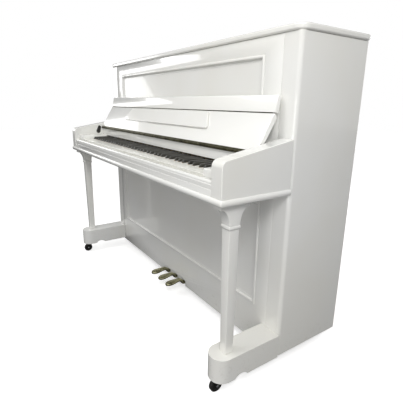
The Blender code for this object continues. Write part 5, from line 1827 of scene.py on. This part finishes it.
# ---- studio --------------------------------------------------------------------------------
@dataclass
class Studio:
    """Pale floor, soft lights and the camera.

    Attributes:
        eye: Where the camera stands.
        heading: Which way it looks, clockwise from +Y seen from below, in radians.
        dip: How far it looks down.
        tilt: How far it is rolled.
        lens: Its focal length in millimetres.
        shift: How far its picture is shifted, right and up, as a share of its width.
    """

    eye: tuple[float, float, float] = (1.475, -0.863, 0.931)
    heading: float = 0.97382
    dip: float = 0.26401
    tilt: float = 0.0125157
    lens: float = 31.56
    shift: Pair = (0.0025, -0.0057)

    def build(self) -> None:
        """Make the floor, the lights, the sky and the camera."""
        self.floor()
        self.sky("#ffffff", 0.48)
        self.lamp("front_light", (0.0, -1.5, 3.0), (0.0, 0.0, 0.9), 1.5, 26)
        self.lamp("side_light", (1.9, -0.9, 1.9), (0.74, -0.1, 0.95), 0.6, 18)
        self.lamp("low_light", (1.6, -2.2, 0.5), (0.3, -0.1, 0.3), 1.0, 10)
        self.lamp("window_light", (-2.7, -0.9, 1.3), (0.0, -0.1, 1.0), 0.8, 5.5)
        self.lamp("back_light", (0.6, 3.6, 1.1), (0.0, 0.3, 0.6), 1.6, 26)
        self.camera()
        view = bpy.context.scene.view_settings
        view.view_transform = "Standard"
        view.look = "None"

    def floor(self) -> None:
        """A wide pale matt floor with a faint mottle."""
        mesh = block((-12, -12, -0.02), (12, 12, 0.0))
        material = bpy.data.materials.new("pale_floor")
        material.use_nodes = True
        tree = material.node_tree
        shader = tree.nodes["Principled BSDF"]
        place = add_node(tree, "ShaderNodeTexCoord").outputs["Object"]
        mixed = add_node(tree, "ShaderNodeMix", {
            0: noise(tree, place, 1 / 3), 6: linear("#f4f4f3"), 7: linear("#f0f0ee")},
            data_type="RGBA")
        path = add_node(tree, "ShaderNodeLightPath")
        seen = add_node(tree, "ShaderNodeMix", {
            0: path.outputs["Is Camera Ray"], 6: linear("#6e6e70"), 7: mixed.outputs[2]},
            data_type="RGBA")
        tree.links.new(seen.outputs[2], shader.inputs["Base Color"])
        glow = add_node(tree, "ShaderNodeMath", {
            0: path.outputs["Is Camera Ray"], 1: 0.6}, operation="MULTIPLY")
        tune(shader, {"Emission Color": (1, 1, 1, 1), "Roughness": 0.9})
        tree.links.new(glow.outputs[0], shader.inputs["Emission Strength"])
        mesh.materials.append(material)
        ground = bpy.data.objects.new("floor", mesh)
        bpy.context.scene.collection.objects.link(ground)

    def sky(self, colour: str, strength: float) -> None:
        """An even white surround.

        Args:
            colour: Its colour.
            strength: How brightly it lights the piano.
        """
        world = bpy.data.worlds.new("studio")
        bpy.context.scene.world = world
        world.use_nodes = True
        tree = world.node_tree
        surround = tree.nodes["Background"]
        tune(surround, {"Color": linear(colour), "Strength": strength})
        plain = add_node(tree, "ShaderNodeBackground", {"Color": linear(colour), "Strength": 1.0})
        path = add_node(tree, "ShaderNodeLightPath")
        mixed = add_node(tree, "ShaderNodeMixShader", {
            0: path.outputs["Is Camera Ray"], 1: surround.outputs[0], 2: plain.outputs[0]})
        tree.links.new(mixed.outputs[0], tree.nodes["World Output"].inputs["Surface"])

    def lamp(self, name: str, place: tuple[float, float, float],
             aim: tuple[float, float, float], size: float, power: float) -> None:
        """A square soft light.

        Args:
            name: Its name.
            place: Where it hangs.
            aim: What it points at.
            size: Length of its sides in metres.
            power: Its power in watts.
        """
        light = bpy.data.lights.new(name, "AREA")
        light.size = size
        light.energy = power
        lamp = bpy.data.objects.new(name, light)
        lamp.location = place
        way = Vector(aim) - Vector(place)
        lamp.rotation_euler = way.to_track_quat("-Z", "Y").to_euler()
        bpy.context.scene.collection.objects.link(lamp)

    def camera(self) -> None:
        """The camera, a standing player's height to the right of the keyboard."""
        data = bpy.data.cameras.new("camera")
        data.lens = self.lens
        data.shift_x, data.shift_y = self.shift
        ahead = Vector((-math.sin(self.heading) * math.cos(self.dip),
                        math.cos(self.heading) * math.cos(self.dip), -math.sin(self.dip)))
        right = Vector((math.cos(self.heading), math.sin(self.heading), 0))
        up = right.cross(ahead)
        rolled = right * math.cos(self.tilt) + up * math.sin(self.tilt)
        upright = up * math.cos(self.tilt) - right * math.sin(self.tilt)
        eye = bpy.data.objects.new("camera", data)
        eye.matrix_world = Matrix.Translation(self.eye) @ Matrix(
            (rolled, upright, -ahead)).transposed().to_4x4()
        bpy.context.scene.collection.objects.link(eye)
        bpy.context.scene.camera = eye


def main() -> None:
    """Build every sub-assembly in order, then the studio."""
    logging.basicConfig(level=logging.INFO, format="%(name)s %(message)s")
    looks = {look: finish.make() for look, finish in FINISHES.items()}
    trees = {"copies": copies_tree(), "wires": wires_tree()}
    for kind in (Case, Keyboard, Fallboard, Supports, Pedals, Back, Action):
        part = kind(looks, trees)
        part.build()
        part.report()
    Studio().build()


if __name__ == "__main__":
    main()
